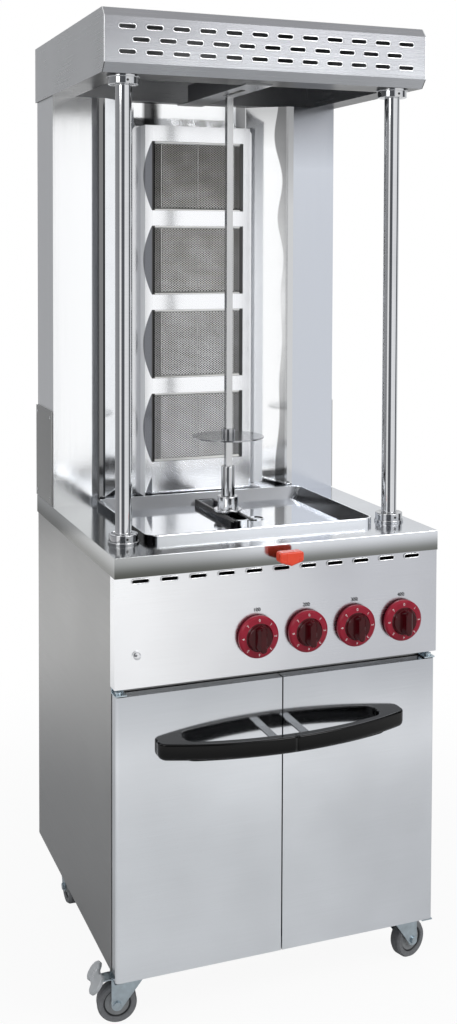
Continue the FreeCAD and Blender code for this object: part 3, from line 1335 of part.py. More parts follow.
def valve(index):
    """A turned gas tap with a boss for the spindle, a tail for the feed tube and a stub below."""
    body = new_body(f"gas_valve_{index + 1}")
    front = deep(S.valve_front)
    back = front + S.valve_length
    sketch = new_sketch(body, "side", 0)
    radius = S.valve_diameter / 2
    neck = S.spindle_diameter
    hole = S.spindle_diameter / 2 + S.pivot_play
    depth = S.spindle_grip + S.knob_travel + 2
    draw_outline(sketch, (
        (front, hole), (front, neck), (front + 8, neck), (front + 8, radius),
        (back - 8, radius), (back - 8, neck), (back, neck), (back, 0), (front + depth, 0),
        (front + depth, hole),
    ))
    turned(body, sketch, "H_Axis")
    rise = S.knob_height - S.manifold_level - S.manifold_diameter / 2
    sketch = new_sketch(body, "top", -rise + S.hair)
    draw_circle(sketch, 0, deep(S.manifold_depth), neck * 2)
    pad(body, sketch, rise - radius + 2)
    return place(body, knob_x(index), 0, S.knob_height)


for index in range(KNOB_COUNT):
    knob(index)
    spindle(index)
group("gas_valves", [valve(i) for i in range(KNOB_COUNT)])

igniter_button = new_body("igniter_button")
sketch = new_sketch(igniter_button, "side", 0)
stem = S.igniter_diameter / 2
dome = deep(-S.panel_sheet - S.igniter_travel)
stop_front = deep(S.panel_sheet) + S.slide_play
draw_outline(sketch, (
    (dome, 0), (dome, stem * 0.4), (dome + 0.8, stem * 0.8), (dome + 2.5, stem),
    (stop_front, stem),
    (stop_front, stem + 1.5), (stop_front + 2, stem + 1.5), (stop_front + 2, stem - 2),
    (stop_front + S.igniter_stem, stem - 2), (stop_front + S.igniter_stem, 0),
))
turned(igniter_button, sketch, "H_Axis")
node(place(igniter_button, S.igniter_x, 0, S.igniter_height))


# Gas pipes: a manifold across the valves, its return to the inlet, and a feed to each burner
def tube(points, diameter, bend):
    """A round rod along straight runs joined by tangent arcs."""
    spots = [Vector(*[number(place) for place in point]) for point in points]
    edges = []
    start = spots[0]
    for before, corner, after in zip(spots, spots[1:], spots[2:]):
        come = (corner - before).normalize()
        leave = (after - corner).normalize()
        half_turn = come.getAngle(leave) / 2
        setback = bend * math.tan(half_turn)
        enter = corner - come * setback
        exit_point = corner + leave * setback
        inward = (leave - come).normalize()
        middle = corner + inward * (bend / math.cos(half_turn) - bend)
        edges.append(Part.LineSegment(start, enter).toShape())
        edges.append(Part.Arc(enter, middle, exit_point).toShape())
        start = exit_point
    edges.append(Part.LineSegment(start, spots[-1]).toShape())
    way = (spots[1] - spots[0]).normalize()
    ring = Part.Wire([Part.makeCircle(number(diameter) / 2, spots[0], way)])
    return Part.Wire(edges).makePipeShell([ring], True, False)


def feed_line(index, riser_x, burner):
    """From the valve back under the spit drive, up behind the reflector and into the burner."""
    x = knob_x(index)
    start = deep(S.valve_front) + S.valve_length + S.hair
    rise_y = (PIPE_FRONT + PIPE_BACK) / 2
    top = burner_z(burner)
    points = [(x, start, S.knob_height)]
    if index > 0:
        points.append((x, deep(S.feed_cross), S.knob_height))
    points += [
        (riser_x, rise_y, S.knob_height), (riser_x, rise_y, top - S.feed_sweep),
        (0, rise_y, top), (0, PIPE_FRONT + S.hair, top),
    ]
    return points


def keep_shape(label, shape):
    """A sub-part whose form is a route of tubes."""
    feature = doc.addObject("Part::Feature", label)
    feature.Label = label
    feature.Shape = shape
    return node(feature)


manifold_y = deep(S.manifold_depth)
manifold = (
    (S.knob_first - S.manifold_end, manifold_y, S.manifold_level),
    (S.inlet_x, manifold_y, S.manifold_level),
    (S.inlet_x, CARCASS_BACK, S.manifold_level),
)
pipe = tube(manifold, S.manifold_diameter, number(S.manifold_bend))
nipple_root = Vector(number(S.inlet_x), number(CARCASS_BACK + S.carcass_sheet - S.inlet_root),
                     number(S.manifold_level))
nipple = Part.makeCylinder(number(S.inlet_diameter) / 2, number(S.inlet_root + S.inlet_length),
                           nipple_root, ALONG_Y)
keep_shape("gas_manifold", pipe.fuse(nipple))
lines = []
risers = (S.knob_first, -S.riser_x / 3, S.riser_x / 3, S.riser_x)
for index, (riser_x, burner) in enumerate(zip(risers, (2, 0, 1, 3))):
    lines.append(tube(feed_line(index, riser_x, burner), S.feed_diameter, number(S.feed_bend)))
keep_shape("feed_tubes", Part.makeCompound(lines))

# Casters: a plate with a swivel pin, a fork with its axle bolt and a wheel; one has a brake
TRAILS = (
    ("fl", -1, CASTER_FRONT, S.trail_fl), ("fr", 1, CASTER_FRONT, S.trail_fr),
    ("rl", -1, S.caster_rear_y, S.trail_rl), ("rr", 1, S.caster_rear_y, S.trail_rr),
)
RACE_LOW = S.floor_level - S.caster_plate_sheet - S.caster_race_height
FORK_TOP = RACE_LOW - S.slide_play
FORK_HALF = S.fork_width / 2
LEG_ROUND = S.fork_eye
HEAD_REACH = S.axle_head_sheet


def caster_plate(side, y):
    body = new_body("caster_plate")
    plate_low = S.floor_level - S.caster_plate_sheet
    half = S.caster_plate / 2
    sketch = new_sketch(body, "top", plate_low)
    draw_round_rectangle(sketch, -half, half, -half + 2, half - 2, S.caster_corner)
    pad(body, sketch, S.caster_plate_sheet)
    sketch = new_sketch(body, "side", 0)
    race = S.caster_race / 2
    draw_outline(sketch, (
        (0, S.fork_crown + S.hair), (S.kingpin_diameter / 2, S.fork_crown + S.hair),
        (S.kingpin_diameter / 2, RACE_LOW), (race - 3, RACE_LOW), (race, RACE_LOW + 3),
        (race, plate_low), (0, plate_low),
    ))
    turned(body, sketch)
    return place(body, S.caster_x * side, deep(y), 0)


def fork(name, side, y, angle):
    """Two legs under a crown, raked back to the axle, with the axle bolt through them."""
    body = new_body(f"fork_{name}")
    sketch = new_sketch(body, "front", FORK_HALF)
    slant = math.radians(30)
    draw_outline(sketch, (
        (-S.fork_trail, FORK_TOP), (S.fork_trail + LEG_ROUND, FORK_TOP),
        (S.fork_trail + LEG_ROUND, S.wheel_radius),
        (S.fork_trail - LEG_ROUND * math.cos(slant), S.wheel_radius - LEG_ROUND * math.sin(slant)),
        (-S.fork_trail, S.fork_crown),
    ), {2: (LEG_ROUND, -1)})
    pad(body, sketch, S.fork_width)
    gap = FORK_HALF - S.fork_sheet
    hollow(body, -S.fork_trail - 1, S.fork_trail + LEG_ROUND + 1, -gap, gap,
           S.wheel_radius - LEG_ROUND - 1, S.fork_crown)
    bore(body, "top", S.fork_crown - 1, 0, 0, S.kingpin_diameter + S.pivot_play * 2,
         FORK_TOP - S.fork_crown + 2)
    bore(body, "front", FORK_HALF + 1, S.fork_trail, S.wheel_radius, S.wheel_axle + S.hair,
         S.fork_width + 2)
    if name == "fl":
        bore(body, "front", FORK_HALF + 1, S.brake_pivot, S.brake_level,
             S.brake_pin + S.pivot_play * 2, S.fork_width + 2)
    bolt = new_body(f"axle_{name}")
    sketch = new_sketch(bolt, "front", 0)
    draw_circle(sketch, 0, 0, S.wheel_axle)
    feature = pad(bolt, sketch, S.fork_width)
    feature.Midplane = True
    for face in (FORK_HALF, -FORK_HALF - HEAD_REACH):
        sketch = new_sketch(bolt, "front", face + HEAD_REACH)
        draw_circle(sketch, 0, 0, S.axle_head)
        pad(bolt, sketch, HEAD_REACH)
    cos = math.cos(math.radians(number(angle)))
    sin = math.sin(math.radians(number(angle)))
    x, y = S.caster_x * side, deep(y)
    place(body, x, y, 0, number(angle))
    place(bolt, x + S.fork_trail * cos, y + S.fork_trail * sin, S.wheel_radius, number(angle))
    group(f"caster_fork_{name}", [body, bolt])


def wheel(name, side, y, angle):
    """A hub, a thin web and a rounded tyre, turned about the axle."""
    body = new_body(f"caster_wheel_{name}")
    sketch = new_sketch(body, "top", 0)
    hole = S.wheel_axle / 2 + S.pivot_play
    hub_half = FORK_HALF - S.fork_sheet - S.slide_play
    tyre = S.wheel_width / 2
    rim = S.wheel_radius - S.tyre_height
    hub = S.hub_diameter / 2
    draw_outline(sketch, (
        (hole, -hub_half), (hub, -hub_half), (hub + 1, -tyre * 0.65), (rim - 2, -tyre * 0.65),
        (rim, -tyre + 0.5), (S.wheel_radius - 3, -tyre), (S.wheel_radius, -tyre * 0.6),
        (S.wheel_radius, tyre * 0.6), (S.wheel_radius - 3, tyre), (rim, tyre - 0.5),
        (rim - 2, tyre * 0.65), (hub + 1, tyre * 0.65), (hub, hub_half), (hole, hub_half),
    ))
    turned(body, sketch)
    cos = math.cos(math.radians(number(angle)))
    sin = math.sin(math.radians(number(angle)))
    place(body, S.caster_x * side + S.fork_trail * cos, deep(y) + S.fork_trail * sin,
          S.wheel_radius, number(angle))
    node(body)


group("caster_plates", [caster_plate(side, y) for name, side, y, angle in TRAILS])
for name, side, y, angle in TRAILS:
    fork(name, side, y, angle)
    wheel(name, side, y, angle)

# Brake of the front left caster: a bent strap on a pin through the fork, and a two-lobed pad
brake_strap = new_body("brake_strap")
strap_half = FORK_HALF - S.fork_sheet - S.brake_side_play
sketch = new_sketch(brake_strap, "front", strap_half)
drop = S.brake_level - S.pad_level
neck_t = S.fork_trail + LEG_ROUND + 4
draw_outline(sketch, (
    (S.brake_pivot - 4, S.brake_level - S.strap_sheet / 2), (neck_t, S.brake_level - S.strap_sheet / 2),
    (S.pad_trail - S.hair, S.pad_level - S.strap_sheet), (S.pad_trail - S.hair, S.pad_level),
    (neck_t, S.brake_level + S.strap_sheet / 2), (S.brake_pivot - 4, S.brake_level + S.strap_sheet / 2),
))
pad(brake_strap, sketch, strap_half * 2)
sketch = new_sketch(brake_strap, "front", FORK_HALF)
draw_circle(sketch, S.brake_pivot, S.brake_level, S.brake_pin)
pad(brake_strap, sketch, S.fork_width)
name, side, y, angle = TRAILS[0]
node(place(brake_strap, S.caster_x * side, deep(y), 0, number(angle)))

brake_pad = new_body("brake_pad")
sketch = new_sketch(brake_pad, "top", 0)
draw_slot(sketch, (0, -S.pad_spread), (0, S.pad_spread), S.pad_lobe * 1.3, upright=True)
pad(brake_pad, sketch, S.pad_sheet)
sketch = new_sketch(brake_pad, "top", 0)
for lobe in (-S.pad_spread, S.pad_spread):
    draw_circle(sketch, 0, lobe, S.pad_lobe * 2)
pad(brake_pad, sketch, S.pad_sheet)
smooth(brake_pad, S.pad_sheet / 4, lambda edge, middle: abs(middle.z - number(S.pad_sheet)) < 0.01
       and edge.Length > 12, "Chamfer")
cos = math.cos(math.radians(number(angle)))
sin = math.sin(math.radians(number(angle)))
place(brake_pad, S.caster_x * side + S.pad_trail * cos, deep(y) + S.pad_trail * sin, S.pad_level)
swing = Rotation(Vector(0, 0, 1), number(angle))
tilt = Rotation(Vector(0, 1, 0), number(S.pad_tilt))
brake_pad.Placement = Placement(brake_pad.Placement.Base, swing.multiply(tilt))
node(brake_pad)

# Every object must have worked and every sub-part must be a whole solid before anything is kept
doc.recompute()
for thing in doc.Objects:
    if {"Invalid", "Error"} & set(thing.State):
        raise SystemExit(f"{thing.Label} failed: {thing.State}")
    if thing.TypeId == "PartDesign::Pocket" and thing.BaseFeature:
        if thing.Shape.Volume > thing.BaseFeature.Shape.Volume - 1e-6:
            raise SystemExit(f"{thing.Label} cuts nothing")
for part in NODES:
    if part.Shape.isNull() or not part.Shape.isValid():
        raise SystemExit(f"{part.Label} has no valid shape")

os.makedirs("parts", exist_ok=True)
for part in NODES:
    part.Shape.exportStep(f"parts/{part.Label}.step")
print(f"{len(NODES)} sub-parts")
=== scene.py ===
import math

import bmesh
import bpy
import numpy as np
from mathutils import Matrix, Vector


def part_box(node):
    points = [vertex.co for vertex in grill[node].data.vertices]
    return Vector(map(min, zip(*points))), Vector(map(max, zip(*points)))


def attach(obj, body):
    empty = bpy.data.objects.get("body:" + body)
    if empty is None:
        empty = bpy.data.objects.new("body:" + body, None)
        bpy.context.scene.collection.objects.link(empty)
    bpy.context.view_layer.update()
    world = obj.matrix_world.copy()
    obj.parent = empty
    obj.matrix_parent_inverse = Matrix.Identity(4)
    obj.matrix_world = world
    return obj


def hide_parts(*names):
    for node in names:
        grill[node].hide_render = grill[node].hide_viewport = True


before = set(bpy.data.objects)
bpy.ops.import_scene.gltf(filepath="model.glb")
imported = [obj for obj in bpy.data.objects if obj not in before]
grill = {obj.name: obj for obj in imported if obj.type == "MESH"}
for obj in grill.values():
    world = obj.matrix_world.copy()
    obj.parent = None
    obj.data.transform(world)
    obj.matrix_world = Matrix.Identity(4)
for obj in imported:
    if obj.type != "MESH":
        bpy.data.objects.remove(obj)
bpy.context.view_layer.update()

# Camera
# The photographer stood front left of the grill at the height of a chest, and framed it
# upright. Place, turn and focal length come from the cabinet's corners in the photograph.
camera_place = (-0.8723, -2.26395, 1.3205)
camera_yaw, camera_pitch, camera_roll = (math.radians(a) for a in (21.05, 2.25, 0.19))

look = np.array([math.sin(camera_yaw) * math.cos(camera_pitch),
                 math.cos(camera_yaw) * math.cos(camera_pitch), -math.sin(camera_pitch)])
side = np.array([math.cos(camera_yaw), -math.sin(camera_yaw), 0.0])
up = np.cross(side, look)
right = side * math.cos(camera_roll) + up * math.sin(camera_roll)
over = up * math.cos(camera_roll) - side * math.sin(camera_roll)
camera = bpy.data.objects.new("camera", bpy.data.cameras.new("camera"))
bpy.context.scene.collection.objects.link(camera)
camera.matrix_world = Matrix([[right[i], over[i], -look[i], camera_place[i]] for i in range(3)]
                             + [[0, 0, 0, 1]])
camera.data.sensor_width = 36
camera.data.lens = 36 * 1277.38 / 1024
camera.data.shift_y = (295.84 - 512) / 1024
camera.data.clip_end = 60
bpy.context.scene.camera = camera
bpy.context.scene.view_settings.view_transform = "Standard"


# Floor and light of the studio
# A white sweep, a large soft lamp at the front right and a weaker one at the left. Round the
# set hangs a wall of cloth that only reflections see, in the greys that polished steel shows.
def linear(code):
    """Turns an sRGB hex colour into the linear colour that a shader wants."""
    parts = np.array([int(code[i:i + 2], 16) for i in (1, 3, 5)]) / 255
    low = parts / 12.92
    high = ((parts + 0.055) / 1.055) ** 2.4
    return (*np.where(parts <= 0.04045, low, high), 1.0)


def add_node(tree, kind, sockets=None, **settings):
    """Adds a node, gives its settings, and fills or links each socket that is named."""
    node = tree.nodes.new("ShaderNode" + kind)
    for name, value in settings.items():
        setattr(node, name, value)
    for socket, value in (sockets or {}).items():
        if isinstance(value, bpy.types.NodeSocket):
            tree.links.new(value, node.inputs[socket])
        else:
            node.inputs[socket].default_value = value
    return node


def new_material(name):
    """An empty node material, as its data and its tree."""
    material = bpy.data.materials.new(name)
    material.use_nodes = True
    material.node_tree.nodes.clear()
    return material, material.node_tree


def grid_object(name, points, wrap_u=False, wrap_v=False, material=None, keep=None):
    """A mesh over grids of points, given as grids by u by v by 3, with a quad in each cell. A
    side that wraps is joined to its other end, and keep says which cells stay."""
    rows, columns = points.shape[-3:-1]
    index = np.arange(rows * columns).reshape(rows, columns)
    if wrap_u:
        index = np.vstack([index, index[:1]])
    if wrap_v:
        index = np.hstack([index, index[:, :1]])
    quads = np.stack([index[:-1, :-1], index[:-1, 1:], index[1:, 1:], index[1:, :-1]], -1)
    flat = points.reshape(-1, 3)
    shifts = np.arange(len(flat) // (rows * columns)) * rows * columns
    quads = quads[None] + shifts[:, None, None, None]
    if keep is not None:
        quads = quads[keep]
    quads = quads.reshape(-1, 4).astype(np.int32)
    mesh = bpy.data.meshes.new(name)
    mesh.vertices.add(len(flat))
    mesh.vertices.foreach_set("co", flat.astype(np.float32).ravel())
    mesh.loops.add(quads.size)
    mesh.loops.foreach_set("vertex_index", quads.ravel())
    mesh.polygons.add(len(quads))
    mesh.polygons.foreach_set("loop_start", np.arange(0, quads.size, 4, dtype=np.int32))
    mesh.polygons.foreach_set("use_smooth", np.ones(len(quads), bool))
    mesh.update(calc_edges=True)
    return closed_object(name, mesh, material)


def closed_object(name, mesh, material):
    """Joins the doubled points of a mesh, turns its faces outwards and shows it."""
    work = bmesh.new()
    work.from_mesh(mesh)
    bmesh.ops.remove_doubles(work, verts=work.verts, dist=1e-6)
    loose = [v for v in work.verts if not v.link_faces]
    bmesh.ops.delete(work, geom=loose, context="VERTS")
    bmesh.ops.recalc_face_normals(work, faces=work.faces)
    work.to_mesh(mesh)
    work.free()
    made = bpy.data.objects.new(name, mesh)
    bpy.context.scene.collection.objects.link(made)
    if material:
        mesh.materials.append(material)
    return made


sweep_paint, tree = new_material("sweep_paint")
place = add_node(tree, "TexCoord").outputs["Object"]
far = add_node(tree, "VectorMath", {0: place}, operation="LENGTH").outputs["Value"]
fade = add_node(tree, "MapRange", {"Value": far, 1: 0.5, 2: 1.6, 3: 0.93, 4: 1.0},
                interpolation_type="SMOOTHSTEP").outputs["Result"]
rays = add_node(tree, "LightPath").outputs
seen = add_node(tree, "Math", {0: rays["Is Camera Ray"], 1: rays["Is Transmission Ray"]},
                operation="MAXIMUM").outputs[0]
glow = add_node(tree, "MapRange", {"Value": far, 1: 0.8, 2: 2.2, 3: 0.0, 4: 1.0},
                interpolation_type="SMOOTHSTEP").outputs["Result"]
shiny = add_node(tree, "Math", {0: glow, 1: rays["Is Glossy Ray"]}, operation="MULTIPLY").outputs[0]
white = add_node(tree, "Math", {0: fade, 1: seen, 2: shiny}, operation="MULTIPLY_ADD").outputs[0]
paint = add_node(tree, "BsdfDiffuse", {"Color": linear("#D9D9D8")}).outputs[0]
lit = add_node(tree, "Emission", {"Color": (1, 1, 1, 1), "Strength": 1.0}).outputs[0]
mixed = add_node(tree, "MixShader", {0: white, 1: paint, 2: lit}).outputs[0]
add_node(tree, "OutputMaterial", {"Surface": mixed})

reach = np.linspace(-14, 14, 15)
across, along = np.meshgrid(reach, reach, indexing="ij")
floor = grid_object("floor", np.stack([across, -along, 0 * across - 0.0005], -1),
                    material=sweep_paint)

world = bpy.data.worlds.new("studio")
world.use_nodes = True
bpy.context.scene.world = world
tree = world.node_tree
tree.nodes.clear()
rays = add_node(tree, "LightPath").outputs
seen = add_node(tree, "Math", {0: rays["Is Camera Ray"], 1: rays["Is Glossy Ray"]},
                operation="MAXIMUM").outputs[0]
seen = add_node(tree, "Math", {0: seen, 1: rays["Is Transmission Ray"]},
                operation="MAXIMUM").outputs[0]
plain = add_node(tree, "Background", {"Color": linear("#F4F6FA"), "Strength": 0.62}).outputs[0]
sweep = add_node(tree, "Background", {"Color": (1, 1, 1, 1), "Strength": 1.0}).outputs[0]
mixed = add_node(tree, "MixShader", {0: seen, 1: plain, 2: sweep}).outputs[0]
add_node(tree, "OutputWorld", {"Surface": mixed})


def soft_lamp(name, place, aim, width, height, power):
    """A rectangular lamp that looks from its place to the aim."""
    lamp = bpy.data.objects.new(name, bpy.data.lights.new(name, "AREA"))
    lamp.data.shape = "RECTANGLE"
    lamp.data.size, lamp.data.size_y, lamp.data.energy = width, height, power
    back = np.subtract(place, aim)
    back = back / np.linalg.norm(back)
    across = np.cross((0, 0, 1), back)
    across = across / np.linalg.norm(across)
    rise = np.cross(back, across)
    lamp.matrix_world = Matrix([[across[i], rise[i], back[i], place[i]] for i in range(3)]
                               + [[0, 0, 0, 1]])
    bpy.context.scene.collection.objects.link(lamp)


soft_lamp("key_lamp", (1.5, -2.5, 3.0), (0, 0, 0.9), 1.6, 1.4, 52)
soft_lamp("fill_lamp", (-2.4, -1.6, 2.6), (0, 0, 0.9), 1.2, 1.6, 18)

# The cloth wall is a ring of 3.6 m radius and 3.6 m height. Its grey goes by the bearing,
# which is 0 straight ahead of the grill's front and grows towards the grill's right side.
cloth, tree = new_material("studio_cloth")
x, y, _ = add_node(tree, "SeparateXYZ", {0: add_node(tree, "TexCoord").outputs["Object"]}).outputs
ahead = add_node(tree, "Math", {0: y, 1: -1.0}, operation="MULTIPLY").outputs[0]
bearing = add_node(tree, "Math", {0: x, 1: ahead}, operation="ARCTAN2").outputs[0]
share = add_node(tree, "MapRange", {"Value": bearing, 1: -math.pi, 2: math.pi}).outputs[0]
hung = add_node(tree, "ValToRGB", {0: share})
drops = ((-180, "#F0F0F0"), (-172, "#B4B5B6"), (-150, "#A4A5A7"), (-71, "#8E8F92"), (-67, "#FFFFFF"),
         (-46, "#FFFFFF"), (-42, "#66686C"), (-6, "#5A5C60"), (-1, "#F4F6FA"), (10, "#FFFFFF"),
         (62, "#F0F2F5"), (66, "#505256"), (85, "#46484C"), (89, "#DCDEE0"), (122, "#E4E6E8"),
         (180, "#F0F0F0"))
while len(hung.color_ramp.elements) < len(drops):
    hung.color_ramp.elements.new(0.5)
for stop, (angle, code) in zip(hung.color_ramp.elements, drops):
    stop.position, stop.color = (angle + 180) / 360, linear(code)
lit = add_node(tree, "Emission", {"Color": hung.outputs[0], "Strength": 1.0}).outputs[0]
add_node(tree, "OutputMaterial", {"Surface": lit})
around, rise = np.meshgrid(np.radians(np.arange(0, 360, 4.0)), np.linspace(0.0, 3.6, 3),
                           indexing="ij")
wall = grid_object("cloth_wall", np.stack([3.6 * np.sin(around), -3.6 * np.cos(around), rise], -1),
                   wrap_u=True, material=cloth)
wall.visible_camera = False
wall.visible_diffuse = False
wall.visible_shadow = False
wall.visible_transmission = False


# Casters
# Twin-leg forks pressed from zinc plated steel, each on a plate with a swivel race that is
# bolted under the cabinet floor. The wheels are grey rubber on a polypropylene hub.
def zinc_plate(name, code):
    """Zinc plated steel: bluish, half dull, with soft clouds from the bath."""
    material, tree = new_material(name)
    place = add_node(tree, "TexCoord").outputs["Object"]
    cloud = add_node(tree, "TexNoise", {"Vector": place, "Scale": 90.0, "Detail": 3.0}).outputs[0]
    tone = add_node(tree, "MapRange", {"Value": cloud, 1: 0.3, 2: 0.7, 3: 0.78, 4: 1.0}).outputs[0]
    colour = add_node(tree, "VectorMath", {0: linear(code)[:3], "Scale": tone},
                      operation="SCALE").outputs[0]
    gloss = add_node(tree, "MapRange", {"Value": cloud, 1: 0.3, 2: 0.7, 3: 0.30, 4: 0.46}).outputs[0]
    skin = add_node(tree, "Bump", {"Height": cloud, "Distance": 0.00008}).outputs[0]
    steel = add_node(tree, "BsdfPrincipled", {"Base Color": colour, "Metallic": 1.0,
                                              "Roughness": gloss, "Normal": skin}).outputs[0]
    add_node(tree, "OutputMaterial", {"Surface": steel})
    return material


def finish_nodes(material, *names):
    """Gives CAD nodes one material."""
    for name in names:
        for held in grill[name].material_slots:
            held.material = material


caster_zinc = zinc_plate("zinc_plated_steel", "#C3CFD6")
finish_nodes(caster_zinc, "caster_plates", "caster_fork_fl", "caster_fork_fr", "caster_fork_rl",
             "caster_fork_rr", "brake_strap")

casters = {"fl": (-0.257, -0.213, 169.9), "fr": (0.257, -0.213, 17.0),
           "rl": (-0.257, 0.228, -90.0), "rr": (0.257, 0.228, -110.0)}
wheel_trail, axle_height = 0.025, 0.034


def tyre_and_hub(name, axle, across):
    """Grey rubber tyre on a paler moulded hub. Rings lie by the distance from the axle: hub,
    web, the black groove where the tyre is moulded on, and the tyre."""
    material, tree = new_material(name)
    place = add_node(tree, "TexCoord").outputs["Object"]
    spoke = add_node(tree, "VectorMath", {0: place, 1: axle}, operation="SUBTRACT").outputs[0]
    along = add_node(tree, "VectorMath", {0: spoke, 1: across}, operation="DOT_PRODUCT").outputs[1]
    shift = add_node(tree, "VectorMath", {0: across, "Scale": along}, operation="SCALE").outputs[0]
    flat = add_node(tree, "VectorMath", {0: spoke, 1: shift}, operation="SUBTRACT").outputs[0]
    reach = add_node(tree, "VectorMath", {0: flat}, operation="LENGTH").outputs["Value"]
    share = add_node(tree, "MapRange", {"Value": reach, 1: 0.0, 2: 0.034}).outputs[0]
    rings = add_node(tree, "ValToRGB", {0: share})
    rings.color_ramp.interpolation = "LINEAR"
    stops = ((0.0, "#A9ABAB"), (0.34, "#A4A6A6"), (0.36, "#7C7E7F"), (0.40, "#8F9192"),
             (0.60, "#8A8C8D"), (0.62, "#2B2C2D"), (0.665, "#262728"), (0.685, "#6E6F71"),
             (0.95, "#727375"), (1.0, "#646567"))
    while len(rings.color_ramp.elements) < len(stops):
        rings.color_ramp.elements.new(0.5)
    for stop, (spot, code) in zip(rings.color_ramp.elements, stops):
        stop.position, stop.color = spot, linear(code)
    grime = add_node(tree, "TexNoise", {"Vector": place, "Scale": 160.0, "Detail": 4.0}).outputs[0]
    tone = add_node(tree, "MapRange", {"Value": grime, 1: 0.3, 2: 0.7, 3: 0.88, 4: 1.06}).outputs[0]
    colour = add_node(tree, "VectorMath", {0: rings.outputs[0], "Scale": tone},
                      operation="SCALE").outputs[0]
    skin = add_node(tree, "Bump", {"Height": grime, "Distance": 0.00015}).outputs[0]
    rubber = add_node(tree, "BsdfPrincipled", {"Base Color": colour, "Roughness": 0.58,
                                               "Normal": skin}).outputs[0]
    add_node(tree, "OutputMaterial", {"Surface": rubber})
    return material


for corner, (post_x, post_y, turn) in casters.items():
    cos, sin = math.cos(math.radians(turn)), math.sin(math.radians(turn))
    axle = (post_x + wheel_trail * cos, post_y + wheel_trail * sin, axle_height)
    finish_nodes(tyre_and_hub("grey_tyre_" + corner, axle, (-sin, cos, 0)),
                 "caster_wheel_" + corner)

# The foot pad of the brake is milky polypropylene, which lets some light through.
pad_skin, tree = new_material("milky_polypropylene")
place = add_node(tree, "TexCoord").outputs["Object"]
flow = add_node(tree, "TexNoise", {"Vector": place, "Scale": 60.0, "Detail": 2.0}).outputs[0]
gloss = add_node(tree, "MapRange", {"Value": flow, 1: 0.3, 2: 0.7, 3: 0.26, 4: 0.42}).outputs[0]
skin = add_node(tree, "Bump", {"Height": flow, "Distance": 0.0003}).outputs[0]
milk = add_node(tree, "BsdfPrincipled", {"Base Color": linear("#C9CCCE"), "Roughness": gloss,
                                         "Transmission Weight": 0.35, "IOR": 1.49,
                                         "Normal": skin}).outputs[0]
add_node(tree, "OutputMaterial", {"Surface": milk})
finish_nodes(pad_skin, "brake_pad")


# Hex bolts hold the caster plates to the cabinet floor, four to a plate.
def bolt_heads(name, centres, outward, flats, height, material):
    """Hex heads: a six sided prism whose top edge is turned down by a cone, closed at its top.
    Each is a grid of rings by corners, from the seat up and in to the middle."""
    outward = np.array(outward, float)
    first = np.cross(outward, (0.3, 0.5, 0.8))
    first = first / np.linalg.norm(first)
    second = np.cross(outward, first)
    turn = np.linspace(0, 2 * np.pi, 12, endpoint=False)
    corner = flats / np.sqrt(3)
    hexagon = flats / 2 / np.cos((turn + np.pi / 6) % (np.pi / 3) - np.pi / 6)
    reach = np.stack([hexagon, hexagon, np.minimum(hexagon, corner * 0.9), hexagon * 0])
    level = np.array([0, 0.8, 1, 1])[:, None] * height + 0 * reach
    ring = (np.cos(turn) * reach)[..., None] * first + (np.sin(turn) * reach)[..., None] * second
    ring = ring + level[..., None] * outward
    points = np.array(centres)[:, None, None, :] + ring[None]
    return grid_object(name, points, wrap_v=True, material=material)


for corner, (post_x, post_y, turn) in casters.items():
    spots = [(post_x + i * 0.023, post_y + j * 0.021, 0.1014) for i in (-1, 1) for j in (-1, 1)]
    bolts = bolt_heads("plate_bolts_" + corner, spots, (0, 0, -1), 0.008, 0.0035, caster_zinc)
    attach(bolts, "frame")


